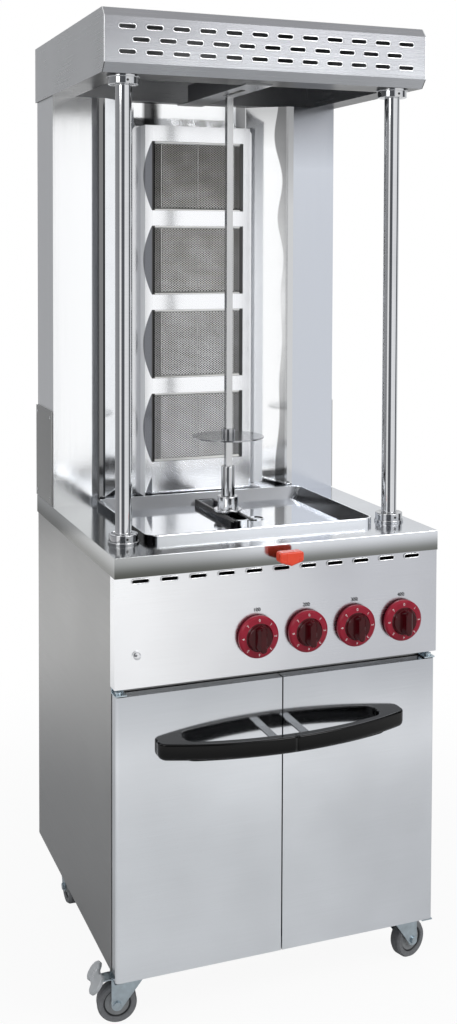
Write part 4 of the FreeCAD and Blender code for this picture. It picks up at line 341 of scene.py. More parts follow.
# Cabinet
# Folded sheets of 304 stainless steel with a satin brushed face, welded at their corners:
# side walls, floor, back and the shelf that also makes the header over the doors.
def brushed_sheet(name, code, roughness, lines, wave=0.00025, gradients=(), groove=0.00002):
    """Brushed 304 steel: parallel lines about 1 mm apart, drawn coarser than the real grit so
    that they show, soft clouds in the gloss, and slow waves in the sheet. Lines gives the
    number of lines per metre along X, Y and Z, and gradient a tone from one level to another."""
    material, tree = new_material(name)
    place = add_node(tree, "TexCoord").outputs["Object"]
    drawn = add_node(tree, "Mapping", {"Vector": place, "Scale": lines}).outputs[0]
    grain = add_node(tree, "TexNoise", {"Vector": drawn, "Scale": 1.0, "Detail": 3.0,
                                        "Roughness": 0.6}).outputs[0]
    cloud = add_node(tree, "TexNoise", {"Vector": place, "Scale": 5.0, "Detail": 2.0}).outputs[0]
    streak = add_node(tree, "MapRange", {"Value": grain, 1: 0.3, 2: 0.7, 3: -0.1 * roughness,
                                         4: 0.1 * roughness}).outputs[0]
    patch = add_node(tree, "MapRange", {"Value": cloud, 1: 0.3, 2: 0.7, 3: 0.9 * roughness,
                                        4: 1.1 * roughness}).outputs[0]
    gloss = add_node(tree, "Math", {0: streak, 1: patch}, operation="ADD").outputs[0]
    tone = add_node(tree, "MapRange", {"Value": grain, 1: 0.25, 2: 0.75, 3: 0.95, 4: 1.0}).outputs[0]
    blotch = add_node(tree, "MapRange", {"Value": cloud, 1: 0.3, 2: 0.7, 3: 0.88, 4: 1.0}).outputs[0]
    tone = add_node(tree, "Math", {0: tone, 1: blotch}, operation="MULTIPLY").outputs[0]
    colour = linear(code)[:3]
    for axis, low, high, low_code, high_code in gradients:
        level = add_node(tree, "SeparateXYZ", {0: place}).outputs[axis]
        share = add_node(tree, "MapRange", {"Value": level, 1: low, 2: high},
                         interpolation_type="SMOOTHSTEP").outputs[0]
        shade = add_node(tree, "Mix", {"Factor": share, 6: linear(low_code),
                                       7: linear(high_code)}, data_type="RGBA").outputs[2]
        colour = add_node(tree, "VectorMath", {0: colour, 1: shade},
                          operation="MULTIPLY").outputs[0]
    colour = add_node(tree, "VectorMath", {0: colour, "Scale": tone}, operation="SCALE").outputs[0]
    slow = add_node(tree, "TexNoise", {"Vector": place, "Scale": 6.0, "Detail": 0.0}).outputs[0]
    waves = add_node(tree, "Bump", {"Height": slow, "Distance": wave}).outputs[0]
    skin = add_node(tree, "Bump", {"Height": grain, "Distance": groove, "Normal": waves}).outputs[0]
    steel = add_node(tree, "BsdfPrincipled", {"Base Color": colour, "Metallic": 1.0,
                                              "Roughness": gloss, "Normal": skin}).outputs[0]
    add_node(tree, "OutputMaterial", {"Surface": steel})
    return material


# Painted shade: the sheet's colour goes a little darker towards the bottom.
side_steel = brushed_sheet("cabinet_sheet", "#FFFFFF", 0.34, (7, 7, 800),
                           gradients=((2, 0.15, 0.75, "#A2A2A2", "#A9A9A8"),))
finish_nodes(side_steel, "cabinet_left_side", "cabinet_right_side", "cabinet_back",
             "cabinet_floor", "service_shelf")


# Pan head screws with a cross recess fix every cover and panel that comes off for service.
def pan_screws(name, centres, outward, radius, body, material):
    """Screw heads: a flat dome over a disc, sunk by a cross where a point lies near one of two
    lines through the middle. Each is a grid of rings by spokes."""
    outward = np.array(outward, float)
    first = np.cross(outward, (0.3, 0.5, 0.8))
    first = first / np.linalg.norm(first)
    second = np.cross(outward, first)
    turn = np.linspace(0, 2 * np.pi, 24, endpoint=False)
    reach = np.array([0, 0.1, 0.2, 0.34, 0.5, 0.7, 0.9, 1.0, 1.0])[:, None] * radius
    a, b = np.cos(turn) * reach, np.sin(turn) * reach
    dome = radius * 0.55 * np.sqrt(np.clip(1.12 - (reach / radius) ** 2, 0, 1)) + 0 * a
    narrow = np.minimum(abs(a), abs(b)) < radius * 0.1
    cross = narrow & (np.hypot(a, b) < radius * 0.55)
    dome = np.where(cross, dome - radius * 0.3, dome)
    dome[-1] = 0
    ring = a[..., None] * first + b[..., None] * second + dome[..., None] * outward
    points = np.array(centres)[:, None, None, :] + ring[None]
    heads = grid_object(name, points, wrap_v=True, material=material)
    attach(heads, body)
    return heads


screw_steel = brushed_sheet("screw_steel", "#C4C6C8", 0.25, (900, 900, 900), groove=0.0)
back_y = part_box("cabinet_back")[1][1]
rows = np.linspace(0.16, 0.74, 4)
spots = [(x, back_y, z) for x in (-0.288, 0.288) for z in rows]
spots += [(x, back_y, z) for x in (-0.1, 0.1) for z in (0.115, 0.765)]
pan_screws("back_screws", spots, (0, 1, 0), 0.0035, "frame", screw_steel)


# Doors
# Two folded stainless doors on pins, one at each side. The black handles are one bow of
# phenolic moulding, cut at the middle, and a flat steel strut stiffens each half.
# Painted shade: the doors' colour goes darker over their top, above the handles, and a little darker
# towards the right.
door_steel = brushed_sheet("door_sheet", "#F4F7FB", 0.10, (7, 7, 800), wave=0.00012,
                           gradients=((2, 0.42, 0.60, "#FFFFFF", "#CACBCD"),
                                      (0, -0.1, 0.3, "#FFFFFF", "#F2F2F3")), groove=0.000003)
finish_nodes(door_steel, "door_left", "door_right")
finish_nodes(caster_zinc, "hinge_brackets")
front = -0.265
handle_reach, handle_half, handle_end, handle_nose = 0.065, 0.229, 0.018, 0.017
handle_low, handle_high, rim, inner_arc = 0.466, 0.496, 0.018, 0.640
hollow_end, hollow_corner, seam = 0.181, 0.0195, 0.0006


def rounded_plate(name, outline, low, high, edge_low, edge_high, place, material, steps=5,
                  flush=None):
    """A plate over an outline of 2D points. Rings of it go from the low level to the high
    one, drawn in along a quarter circle at each end, and two flat caps close it. Place turns
    the three local axes into the row's, and flush is an x at which the outline isn't drawn in
    sideways, because the plate is cut there."""
    ahead = np.roll(outline, -1, 0) - outline
    ahead = ahead / np.linalg.norm(ahead, axis=1)[:, None]
    left = np.stack([-ahead[:, 1], ahead[:, 0]], 1)
    before = np.roll(left, 1, 0)
    lean = (left + before) / np.maximum(0.35, 1 + (left * before).sum(1))[:, None]
    area = (outline[:, 0] * np.roll(outline[:, 1], -1) - outline[:, 1]
            * np.roll(outline[:, 0], -1)).sum()
    lean = lean * np.sign(area)
    if flush is not None:
        lean[abs(outline[:, 0] - flush) < 1e-5, 0] = 0
        lean[abs(outline[:, 1] - front) < 1e-5, 1] = 0
    turn = np.linspace(0, np.pi / 2, steps)
    insets = np.concatenate([edge_low * (1 - np.sin(turn)), edge_high * (1 - np.cos(turn))])
    levels = np.concatenate([low + edge_low * (1 - np.cos(turn)),
                             high - edge_high * (1 - np.sin(turn))])
    rings = outline[None] + lean[None] * insets[:, None, None]
    points = np.concatenate([rings, np.broadcast_to(levels[:, None, None],
                                                    rings.shape[:2] + (1,))], -1) @ place
    count = len(outline)
    index = np.arange(points.shape[0] * count).reshape(-1, count)
    index = np.hstack([index, index[:, :1]])
    quads = np.stack([index[:-1, :-1], index[:-1, 1:], index[1:, 1:], index[1:, :-1]], -1)
    faces = quads.reshape(-1, 4).tolist() + [index[0, :-1].tolist(), index[-1, :-1].tolist()]
    mesh = bpy.data.meshes.new(name)
    mesh.from_pydata(points.reshape(-1, 3).tolist(), [], faces)
    smooth = np.ones(len(mesh.polygons), bool)
    smooth[-2:] = False
    mesh.polygons.foreach_set("use_smooth", smooth)
    return closed_object(name, mesh, material)


def handle_outline(side):
    """Half of the bow from above. The outer arc goes through the seam and the end's corner,
    a nose arc touches it and the end, and the inner arc is 18 mm behind it at the seam, with
    a corner arc to the hollow's end. Each centre lies where its arc touches its neighbours."""
    bend = handle_reach - handle_end
    outer = (bend ** 2 + handle_half ** 2) / (2 * bend)
    outer_y = front - handle_reach + outer
    nose_x = handle_half - handle_nose
    nose_y = outer_y - math.sqrt((outer - handle_nose) ** 2 - nose_x ** 2)
    x = np.linspace(seam, nose_x * outer / (outer - handle_nose), 40)
    arc = np.stack([x, outer_y - np.sqrt(outer ** 2 - x ** 2)], 1)
    turn = np.linspace(math.atan2(nose_y - outer_y, nose_x), 0, 9)[1:]
    nose = np.stack([nose_x + handle_nose * np.cos(turn), nose_y + handle_nose * np.sin(turn)], 1)
    foot = np.array([[handle_half, front], [hollow_end, front]])
    inner_y = front - handle_reach + rim + inner_arc
    bend_x = hollow_end - hollow_corner
    bend_y = inner_y - math.sqrt((inner_arc - hollow_corner) ** 2 - bend_x ** 2)
    turn = np.linspace(0, math.atan2(bend_y - inner_y, bend_x), 12)
    corner = np.stack([bend_x + hollow_corner * np.cos(turn),
                       bend_y + hollow_corner * np.sin(turn)], 1)
    x = np.linspace(bend_x * inner_arc / (inner_arc - hollow_corner), seam, 30)[1:]
    bow = np.stack([x, inner_y - np.sqrt(inner_arc ** 2 - x ** 2)], 1)
    return np.concatenate([arc, nose, foot, corner, bow]) * (side, 1)


handle_black, tree = new_material("black_phenolic")
place = add_node(tree, "TexCoord").outputs["Object"]
wear = add_node(tree, "TexNoise", {"Vector": place, "Scale": 35.0, "Detail": 4.0}).outputs[0]
gloss = add_node(tree, "MapRange", {"Value": wear, 1: 0.35, 2: 0.75, 3: 0.08, 4: 0.18}).outputs[0]
peel = add_node(tree, "TexNoise", {"Vector": place, "Scale": 420.0, "Detail": 1.0}).outputs[0]
skin = add_node(tree, "Bump", {"Height": peel, "Distance": 0.00002}).outputs[0]
black = add_node(tree, "BsdfPrincipled", {"Base Color": linear("#030303"), "Roughness": gloss,
                                          "Specular IOR Level": 0.2, "Normal": skin}).outputs[0]
add_node(tree, "OutputMaterial", {"Surface": black})

# The struts' steel is painted a dark grey as a painted reflection of the black handle.
strut_steel = brushed_sheet("strut_bar", "#8E9092", 0.22, (300, 10, 300), wave=0.0)
strut_x = {"left": -0.037, "right": 0.021}
for name, side in (("left", -1), ("right", 1)):
    bow = rounded_plate("handle_bow_" + name, handle_outline(side), handle_low, handle_high,
                        0.010, 0.003, np.eye(3), handle_black, flush=side * seam)
    middle = strut_x[name]
    bar = np.array([[middle - 0.008, front - 0.046], [middle + 0.008, front - 0.046],
                    [middle + 0.008, front], [middle - 0.008, front]])
    strut = rounded_plate("handle_strut_" + name, bar, 0.4925, 0.4950, 0.0004, 0.0004, np.eye(3),
                          strut_steel, 2)
    for piece, finish in ((bow, "handle_black"), (strut, "satin_steel")):
        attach(piece, "door_" + name)
    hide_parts("handle_" + name)


# Control panel
# One folded stainless sheet with a row of punched vents, whose burrs catch the light, four
# gas knobs, the igniter button in its collar, and numbers printed in black over the knobs.
# Painted shade: the panel's colour goes darker towards the right.
panel_steel = brushed_sheet("panel_sheet", "#FCFDFF", 0.24, (7, 7, 800), wave=0.0001,
                            gradients=((0, -0.28, 0.14, "#FFFFFF", "#C9CACE"),), groove=0.000006)
finish_nodes(panel_steel, "control_panel")
burr_steel = brushed_sheet("burr_steel", "#F4F5F7", 0.2, (60, 60, 60), groove=0.0)


def slot_rims(name, centres, half_length, radius, body):
    """The rolled burr round each slot: a stadium path, whose section is a half round 1.5 mm
    wide that stands 0.4 mm proud of the sheet. A grid of path by section for each slot."""
    turn = np.linspace(0, 2 * np.pi, 20, endpoint=False) + np.pi / 20
    shift = np.sign(np.cos(turn)) * (half_length - radius)
    section = np.linspace(0, np.pi, 6)
    out = radius + 0.00075 - 0.00075 * np.cos(section)
    x = shift[:, None] + np.cos(turn)[:, None] * out
    z = np.sin(turn)[:, None] * out
    y = -0.0004 * np.sin(section) + 0 * x
    points = np.array(centres)[:, None, None, :] + np.stack([x, y, z], -1)[None]
    rims = grid_object(name, points, wrap_u=True, material=burr_steel)
    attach(rims, body)
    return rims


panel_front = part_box("control_panel")[0][1]
vents = [(-0.257 + 0.0507 * i, panel_front, 0.767) for i in range(11)]
slot_rims("vent_rims", vents, 0.0145, 0.003, "frame")


# The knobs are red moulded phenolic: a crimson skirt with white figures, and a dark maroon
# middle with the grip bar, which is buffed to a shine.
knob_skin, tree = new_material("crimson_and_maroon_phenolic")
place = add_node(tree, "TexCoord").outputs["Object"]
depth = add_node(tree, "SeparateXYZ", {0: place}).outputs[1]
grip = add_node(tree, "MapRange", {"Value": depth, 1: -0.2788, 2: -0.2790}).outputs[0]
flow = add_node(tree, "TexNoise", {"Vector": place, "Scale": 70.0, "Detail": 3.0}).outputs[0]
skirt = add_node(tree, "Mix", {"Factor": flow, 6: linear("#7E1024"), 7: linear("#A02036")},
                 data_type="RGBA").outputs[2]
dark = add_node(tree, "Mix", {"Factor": flow, 6: linear("#330509"), 7: linear("#480911")},
                data_type="RGBA").outputs[2]
colour = add_node(tree, "Mix", {"Factor": grip, 6: skirt, 7: dark}, data_type="RGBA").outputs[2]
gloss = add_node(tree, "MapRange", {"Value": grip, 1: 0.0, 2: 1.0, 3: 0.30, 4: 0.13}).outputs[0]
skin = add_node(tree, "Bump", {"Height": flow, "Distance": 0.0001}).outputs[0]
red = add_node(tree, "BsdfPrincipled", {"Base Color": colour, "Roughness": gloss,
                                        "Specular IOR Level": 0.22, "Normal": skin}).outputs[0]
add_node(tree, "OutputMaterial", {"Surface": red})
finish_nodes(knob_skin, "knob_1", "knob_2", "knob_3", "knob_4")


def ink(name, code):
    """Screen printed ink: matt, a little uneven where the screen left less."""
    material, tree = new_material(name)
    place = add_node(tree, "TexCoord").outputs["Object"]
    thin = add_node(tree, "TexNoise", {"Vector": place, "Scale": 900.0, "Detail": 2.0}).outputs[0]
    tone = add_node(tree, "MapRange", {"Value": thin, 1: 0.3, 2: 0.7, 3: 0.85, 4: 1.0}).outputs[0]
    colour = add_node(tree, "VectorMath", {0: linear(code)[:3], "Scale": tone},
                      operation="SCALE").outputs[0]
    print_coat = add_node(tree, "BsdfPrincipled", {"Base Color": colour,
                                                   "Roughness": 0.6}).outputs[0]
    add_node(tree, "OutputMaterial", {"Surface": print_coat})
    return material


def figures(name, words, size, material, body, surface):
    """Flat figures made a mesh. Words are (text, x, z, turn): each text is centred, turned
    and set at x and z, and surface gives the depth in Y of the face under each point."""
    parts, faces, start = [], [], 0
    for text, x, z, turn in words:
        curve = bpy.data.curves.new(name, "FONT")
        curve.body, curve.size = text, size
        curve.align_x, curve.align_y = "CENTER", "CENTER"
        curve.extrude = 0.00012
        letter = bpy.data.objects.new(name, curve)
        mesh = bpy.data.meshes.new_from_object(letter)
        flat = np.zeros(len(mesh.vertices) * 3)
        mesh.vertices.foreach_get("co", flat)
        flat = flat.reshape(-1, 3)
        cos, sin = math.cos(turn), math.sin(turn)
        across = x + flat[:, 0] * cos + flat[:, 1] * sin
        rise = z - flat[:, 0] * sin + flat[:, 1] * cos
        parts.append(np.stack([across, surface(across, rise) - flat[:, 2], rise], 1))
        faces += [[start + v for v in polygon.vertices] for polygon in mesh.polygons]
        start += len(flat)
        bpy.data.objects.remove(letter)
        bpy.data.curves.remove(curve)
        bpy.data.meshes.remove(mesh)
    mesh = bpy.data.meshes.new(name)
    mesh.from_pydata(np.concatenate(parts).tolist(), [], faces)
    made = closed_object(name, mesh, material)
    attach(made, body)
    return made


black_ink, white_ink = ink("black_ink", "#1A1A1C"), ink("white_ink", "#F3EEEC")
knob_height, skirt_front = 0.654, -0.2785
knob_axes = [-0.049 + 0.0927 * i for i in range(4)]
for number, knob_x in enumerate(knob_axes, 1):
    spin = np.radians(np.arange(0, 360, 45.0))
    words = [(str(i), knob_x + 0.0295 * math.sin(t), knob_height + 0.0295 * math.cos(t), t)
             for i, t in enumerate(spin)]
    marks = figures(f"knob_figures_{number}", words, 0.0066, white_ink, f"knob_{number}",
                    lambda x, z, c=knob_x: skirt_front
                    + 0.118 * np.clip(np.hypot(x - c, z - knob_height) - 0.025, 0, 1))
words = [(f"{i}00", x, 0.6985, 0.0) for i, x in enumerate(knob_axes, 1)]
panel_marks = figures("panel_figures", words, 0.0088, black_ink, "frame",
                      lambda x, z: panel_front + 0 * x)
button_chrome = brushed_sheet("button_chrome", "#E8E9EB", 0.10, (90, 90, 90), wave=0.0, groove=0.0)
finish_nodes(button_chrome, "igniter_button")


# Worktop
# A folded tray of stainless sheet, brushed across, with its front edge turned down. The
# pull knob of the spit carriage comes out in the middle of it.
# Painted light and shade: the apron goes from dark at its foot to a painted highlight along its top edge,
# and the worktop goes darker towards the left.
top_steel = brushed_sheet("worktop_sheet", "#E2E5EA", 0.13, (7, 700, 7), wave=0.0004,
                          gradients=((2, 0.776, 0.808, "#868680", "#FFFFFF"),
                                     (0, -0.33, 0.05, "#C2C2BE", "#FFFFFF")), groove=0.000006)
finish_nodes(top_steel, "worktop")


def moulded(name, code, roughness, flow_code):
    """A moulded plastic: flow clouds a shade apart and a faint orange peel in the gloss."""
    material, tree = new_material(name)
    place = add_node(tree, "TexCoord").outputs["Object"]
    flow = add_node(tree, "TexNoise", {"Vector": place, "Scale": 55.0, "Detail": 3.0}).outputs[0]
    colour = add_node(tree, "Mix", {"Factor": flow, 6: linear(code), 7: linear(flow_code)},
                      data_type="RGBA").outputs[2]
    gloss = add_node(tree, "MapRange", {"Value": flow, 1: 0.3, 2: 0.7, 3: roughness - 0.04,
                                        4: roughness + 0.06}).outputs[0]
    peel = add_node(tree, "TexNoise", {"Vector": place, "Scale": 500.0, "Detail": 1.0}).outputs[0]
    skin = add_node(tree, "Bump", {"Height": peel, "Distance": 0.00003}).outputs[0]
    plastic = add_node(tree, "BsdfPrincipled", {"Base Color": colour, "Roughness": gloss,
                                                "Normal": skin}).outputs[0]
    add_node(tree, "OutputMaterial", {"Surface": plastic})
    return material


pull_orange = moulded("orange_abs", "#D9361A", 0.28, "#EC4A22")
finish_nodes(pull_orange, "pull_handle")


# Drip pan
# Pressed from polished 304 sheet, with a rolled rim, a drain ring and a raised slot for the
# spit. The back wall is rougher and painted a darker grey as shade, and the right wall is
# painted shade that goes from grey at the back to near black at its front. A black silicone
# edging is pushed on the slot's rim, lower towards the front.
pan_steel, tree = new_material("pan_polish")
place = add_node(tree, "TexCoord").outputs["Object"]
level = add_node(tree, "SeparateXYZ", {0: place}).outputs[1]
facing, ahead, up = add_node(tree, "SeparateXYZ", {
    0: add_node(tree, "NewGeometry").outputs["Normal"]}).outputs
# Painted shade: the right wall darkens from grey at the back to near black at the front, and the back wall
# is a darker grey.
right = add_node(tree, "MapRange", {"Value": facing, 1: -0.2, 2: -0.35}).outputs[0]
behind = add_node(tree, "MapRange", {"Value": level, 1: 0.05, 2: 0.08}).outputs[0]
back = add_node(tree, "MapRange", {"Value": ahead, 1: -0.3, 2: -0.5}).outputs[0]
back = add_node(tree, "Math", {0: back, 1: behind}, operation="MULTIPLY").outputs[0]
ramp = add_node(tree, "MapRange", {"Value": level, 1: 0.15, 2: -0.06}).outputs[0]
wall = add_node(tree, "Mix", {"Factor": ramp, 6: linear("#A0A2A6"), 7: linear("#161618")},
                data_type="RGBA").outputs[2]
colour = add_node(tree, "Mix", {"Factor": right, 6: linear("#F8FAFD"), 7: wall},
                  data_type="RGBA").outputs[2]
colour = add_node(tree, "Mix", {"Factor": back, 6: colour, 7: linear("#B6B8BC")},
                  data_type="RGBA").outputs[2]
haze = add_node(tree, "TexNoise", {"Vector": place, "Scale": 40.0, "Detail": 3.0}).outputs[0]
fine = add_node(tree, "MapRange", {"Value": haze, 1: 0.3, 2: 0.7, 3: 0.06, 4: 0.11}).outputs[0]
gloss = add_node(tree, "Math", {0: back, 1: 0.4, 2: fine}, operation="MULTIPLY_ADD").outputs[0]
slow = add_node(tree, "TexNoise", {"Vector": place, "Scale": 9.0, "Detail": 0.0}).outputs[0]
skin = add_node(tree, "Bump", {"Height": slow, "Distance": 0.0003}).outputs[0]
steel = add_node(tree, "BsdfPrincipled", {"Base Color": colour, "Metallic": 1.0,
                                          "Roughness": gloss, "Normal": skin}).outputs[0]
add_node(tree, "OutputMaterial", {"Surface": steel})
finish_nodes(pan_steel, "drip_pan")
slot_half, rim_top, pan_floor_z = 0.020, 0.811, 0.800
back_end, front_end = front + 0.395 + 0.006, front + 0.185 - 0.006
y = np.linspace(front_end + 0.004, back_end - 0.004, 24)
turn = np.linspace(0, np.pi, 9)
corner = 0.004
path = np.concatenate([
    np.stack([-slot_half + 0 * y, y], 1),
    np.stack([-slot_half + corner - corner * np.cos(turn[:5]), back_end - corner
              + corner * np.sin(turn[:5])], 1),
    np.stack([slot_half - corner + corner * np.sin(turn[:5]), back_end - corner
              + corner * np.cos(turn[:5])], 1),
    np.stack([slot_half + 0 * y, y[::-1]], 1)])
normal = np.stack([np.sign(path[:, 0]), 0 * path[:, 0]], 1)
at_back = path[:, 1] > back_end - corner + 1e-6
middle = np.stack([np.clip(path[:, 0], -slot_half + corner, slot_half - corner),
                   0 * path[:, 0] + back_end - corner], 1)
normal[at_back] = ((path - middle) / corner)[at_back]
share = np.clip((path[:, 1] - front_end) / (back_end - front_end), 0, 1)
foot = rim_top - 0.0015 - 0.0093 * share ** 0.8
section = ((0.0006, None), (0.0007, rim_top + 0.0006), (-0.0030, rim_top + 0.0010),
           (-0.0066, rim_top + 0.0006), (-0.0066, rim_top - 0.002), (-0.0061, rim_top - 0.002),
           (-0.0061, rim_top + 0.0001), (0.0001, rim_top + 0.0001), (0.0001, None))
rings = [np.concatenate([path + normal * out, (foot if level is None else 0 * foot + level)[:, None]],
                        1) for out, level in section]
silicone = moulded("black_silicone", "#0C0C0D", 0.32, "#161617")
edging = grid_object("slot_edging", np.stack(rings, 1), wrap_v=True, material=silicone)
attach(edging, "frame")


# Spit
# A square 12 mm bar of ground stainless steel with a thin disc for the meat, in a turned
# socket. It rides with its geared motor on a sliding carriage, and its top runs in nylon.
bar_steel = brushed_sheet("ground_bar", "#CFD0D1", 0.2, (300, 300, 6), wave=0.0)
disc_steel = brushed_sheet("spun_disc", "#B4B5B7", 0.15, (40, 40, 40), wave=0.0003)
turned_steel = brushed_sheet("turned_bar", "#D2D3D5", 0.10, (8, 8, 900), wave=0.0, groove=0.000004)
finish_nodes(bar_steel, "spit_rod", "pull_rod")
finish_nodes(disc_steel, "meat_disc")
finish_nodes(caster_zinc, "spit_carriage", "carriage_rails")
spit_y = front + 0.267


def turned_piece(name, corners, centres, material, sides=72):
    """A turned piece. Corners are (radius, level, rounding) in order round its section, and
    each corner becomes a quadratic curve between its two sides, which starts and ends at the
    rounding from it, with one more point on each side to keep the flats flat. The section
    goes round the upright axis at each centre, as a grid of section by angle."""
    corners = np.array(corners, float)
    spots, rounding = corners[:, None, :2], corners[:, None, 2:]
    ahead = np.roll(spots, -1, 0) - spots
    ahead = ahead / np.linalg.norm(ahead, axis=-1, keepdims=True)
    behind = -np.roll(ahead, 1, 0)
    t = np.linspace(0, 1, 6)[None, :, None]
    curve = spots + rounding * ((1 - t) ** 2 * behind + t ** 2 * ahead)
    section = np.concatenate([spots + rounding * 2 * behind, curve, spots + rounding * 2 * ahead],
                             1).reshape(-1, 2)
    turn = np.linspace(0, 2 * np.pi, sides, endpoint=False)
    centres = np.array(centres)[:, None, None, :]
    reach = section[None, :, 0, None]
    points = np.stack(np.broadcast_arrays(centres[..., 0] + reach * np.cos(turn),
                                          centres[..., 1] + reach * np.sin(turn),
                                          section[None, :, 1, None]), -1)
    return grid_object(name, points, wrap_u=True, wrap_v=True, material=material)


# The socket and the bearing collar are turned on a lathe and left bright.
socket = turned_piece("turned_socket", (
    (0.0, 0.765, 0), (0.006, 0.765, 0.0005), (0.006, 0.8433, 0.0003), (0.013, 0.8433, 0.0005),
    (0.013, 0.900, 0.0016), (0.0, 0.900, 0)), [(0, spit_y)], turned_steel)
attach(socket, "spit")
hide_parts("spit_socket")
collar = turned_piece("turned_bearing_collar", (
    (0.0062, 0.786, 0), (0.00875, 0.786, 0.0004), (0.00875, 0.814, 0.0004), (0.027, 0.814, 0.0006),
    (0.027, 0.818, 0.0008), (0.020, 0.818, 0.0006), (0.020, 0.843, 0.0018), (0.0062, 0.843, 0.0003)),
    [(0, spit_y)], turned_steel)
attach(collar, "carriage")
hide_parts("bearing_collar")
nylon = moulded("white_nylon", "#E6E4DE", 0.45, "#D9D6CE")
finish_nodes(nylon, "top_bearing")
motor_paint = moulded("charcoal_enamel", "#232426", 0.42, "#2E2F31")
finish_nodes(motor_paint, "gear_motor")
can_low, can_high, can_radius = 0.684, 0.733, 0.022
level = np.linspace(can_low + 0.006, can_high - 0.006, 7)
turn = np.linspace(0, 2 * np.pi, 40, endpoint=False)
profile_r = np.array([can_radius - 0.0002, can_radius + 0.002, can_radius + 0.002,
                      can_radius - 0.0002])
profile_z = np.array([-0.0011, -0.0007, 0.0007, 0.0011])
fins = np.stack(np.broadcast_arrays(
    np.cos(turn)[None, :, None] * profile_r, spit_y + np.sin(turn)[None, :, None] * profile_r,
    level[:, None, None] + profile_z), -1)
fins = grid_object("motor_fins", fins, wrap_u=True, material=motor_paint)
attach(fins, "carriage")
spots = [(x, spit_y + dy, 0.7858) for x in (-0.038, 0.038) for dy in (-0.03, 0.03)]
pan_screws("carriage_screws", spots, (0, 0, 1), 0.003, "carriage", screw_steel)


# Posts
# Tubes of polished stainless steel between the worktop and the hood, with a turned collar
# at each end, held by a socket screw from the side.
post_steel = brushed_sheet("post_polish", "#E2E3E5", 0.06, (4, 4, 500), wave=0.0,
                           groove=0.000002)
post_x, post_y = 0.257, front + 0.100
post_low, post_high = 0.809, 1.6085
tubes = turned_piece("post_tubes", (
    (0.0125, post_low, 0), (0.014, post_low, 0.0002), (0.014, post_high, 0.0002),
    (0.0125, post_high, 0)), [(-post_x, post_y), (post_x, post_y)], post_steel)
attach(tubes, "frame")
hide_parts("posts")


def collar_section(seat, way, flange, band, height):
    """The section of a post collar: bore, flange ring 4 mm high at the seat, then the band."""
    corners = ((0.0141, seat, 0), (flange, seat, 0.0005), (flange, seat + way * 0.004, 0.0008),
               (band, seat + way * 0.004, 0.0004), (band, seat + way * height, 0.0010),
               (0.0141, seat + way * height, 0))
    return corners if way > 0 else corners[::-1]


both = [(-post_x, post_y), (post_x, post_y)]
feet = turned_piece("foot_collars", collar_section(post_low, 1, 0.027, 0.025, 0.017), both, turned_steel)
heads = turned_piece("head_collars", collar_section(post_high, -1, 0.0285, 0.0265, 0.016), both,
                     turned_steel)
for piece in (feet, heads):
    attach(piece, "frame")
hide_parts("post_collars")
spots = [(s * post_x, post_y - 0.025, 0.8195) for s in (-1, 1)]
pan_screws("foot_screws", spots, (0, -1, 0), 0.0022, "frame", silicone)
spots = [(s * post_x, post_y - 0.0265, 1.5985) for s in (-1, 1)]
pan_screws("head_screws", spots, (0, -1, 0), 0.0022, "frame", silicone)


# Housing
# Jambs of satin sheet stand left and right of the burners. Between them a mirror polished
# reflector, pulled into slow waves where it is spot welded, throws the heat at the meat.
mouth_half, roll = 0.196, 0.027
jamb_steel, tree = new_material("jamb_satin")
place = add_node(tree, "TexCoord").outputs["Object"]
x, y, z = add_node(tree, "SeparateXYZ", {0: place}).outputs
drawn = add_node(tree, "Mapping", {"Vector": place, "Scale": (500, 500, 5)}).outputs[0]
grain = add_node(tree, "TexNoise", {"Vector": drawn, "Scale": 1.0, "Detail": 2.0}).outputs[0]
gloss = add_node(tree, "MapRange", {"Value": grain, 1: 0.3, 2: 0.7, 3: 0.15, 4: 0.20}).outputs[0]
# Painted shade: the right jamb is a darker grey than the left, and darker again towards its top as the
# hood's painted shadow.
share = add_node(tree, "MapRange", {"Value": x, 1: -0.2, 2: 0.2}).outputs[0]
top = add_node(tree, "MapRange", {"Value": z, 1: 1.48, 2: 1.60}).outputs[0]
grey = add_node(tree, "Mix", {"Factor": top, 6: linear("#CACED6"), 7: linear("#8E9095")},
                data_type="RGBA").outputs[2]
colour = add_node(tree, "Mix", {"Factor": share, 6: linear("#FDFEFF"), 7: grey},
                  data_type="RGBA").outputs[2]
# The folded sides are duller than the fronts.
facing = add_node(tree, "SeparateXYZ", {0: add_node(tree, "NewGeometry").outputs["Normal"]}).outputs[0]
sideways = add_node(tree, "Math", {0: facing}, operation="ABSOLUTE").outputs[0]
sideways = add_node(tree, "MapRange", {"Value": sideways, 1: 0.5, 2: 0.8}).outputs[0]
colour = add_node(tree, "Mix", {"Factor": sideways, 6: colour, 7: linear("#EBECEE")},
                  data_type="RGBA").outputs[2]
gloss = add_node(tree, "Math", {0: sideways, 1: 0.16, 2: gloss}, operation="MULTIPLY_ADD").outputs[0]
# The left sheet leans back into the recess over its last 27 mm, by about 30 degrees: the
# drop grows a little faster than the way into the lean, which rounds its start.
into = add_node(tree, "MapRange", {"Value": x, 1: -mouth_half - roll, 2: -mouth_half}).outputs[0]
drop = add_node(tree, "Math", {0: into, 1: 1.08}, operation="POWER").outputs[0]
skin = add_node(tree, "Bump", {"Height": drop, "Distance": roll * 0.55}, invert=True).outputs[0]
steel = add_node(tree, "BsdfPrincipled", {"Base Color": colour, "Metallic": 1.0,
                                          "Roughness": gloss, "Normal": skin}).outputs[0]
add_node(tree, "OutputMaterial", {"Surface": steel})
finish_nodes(jamb_steel, "housing_left", "housing_right")
finish_nodes(side_steel, "access_covers", "housing_back")
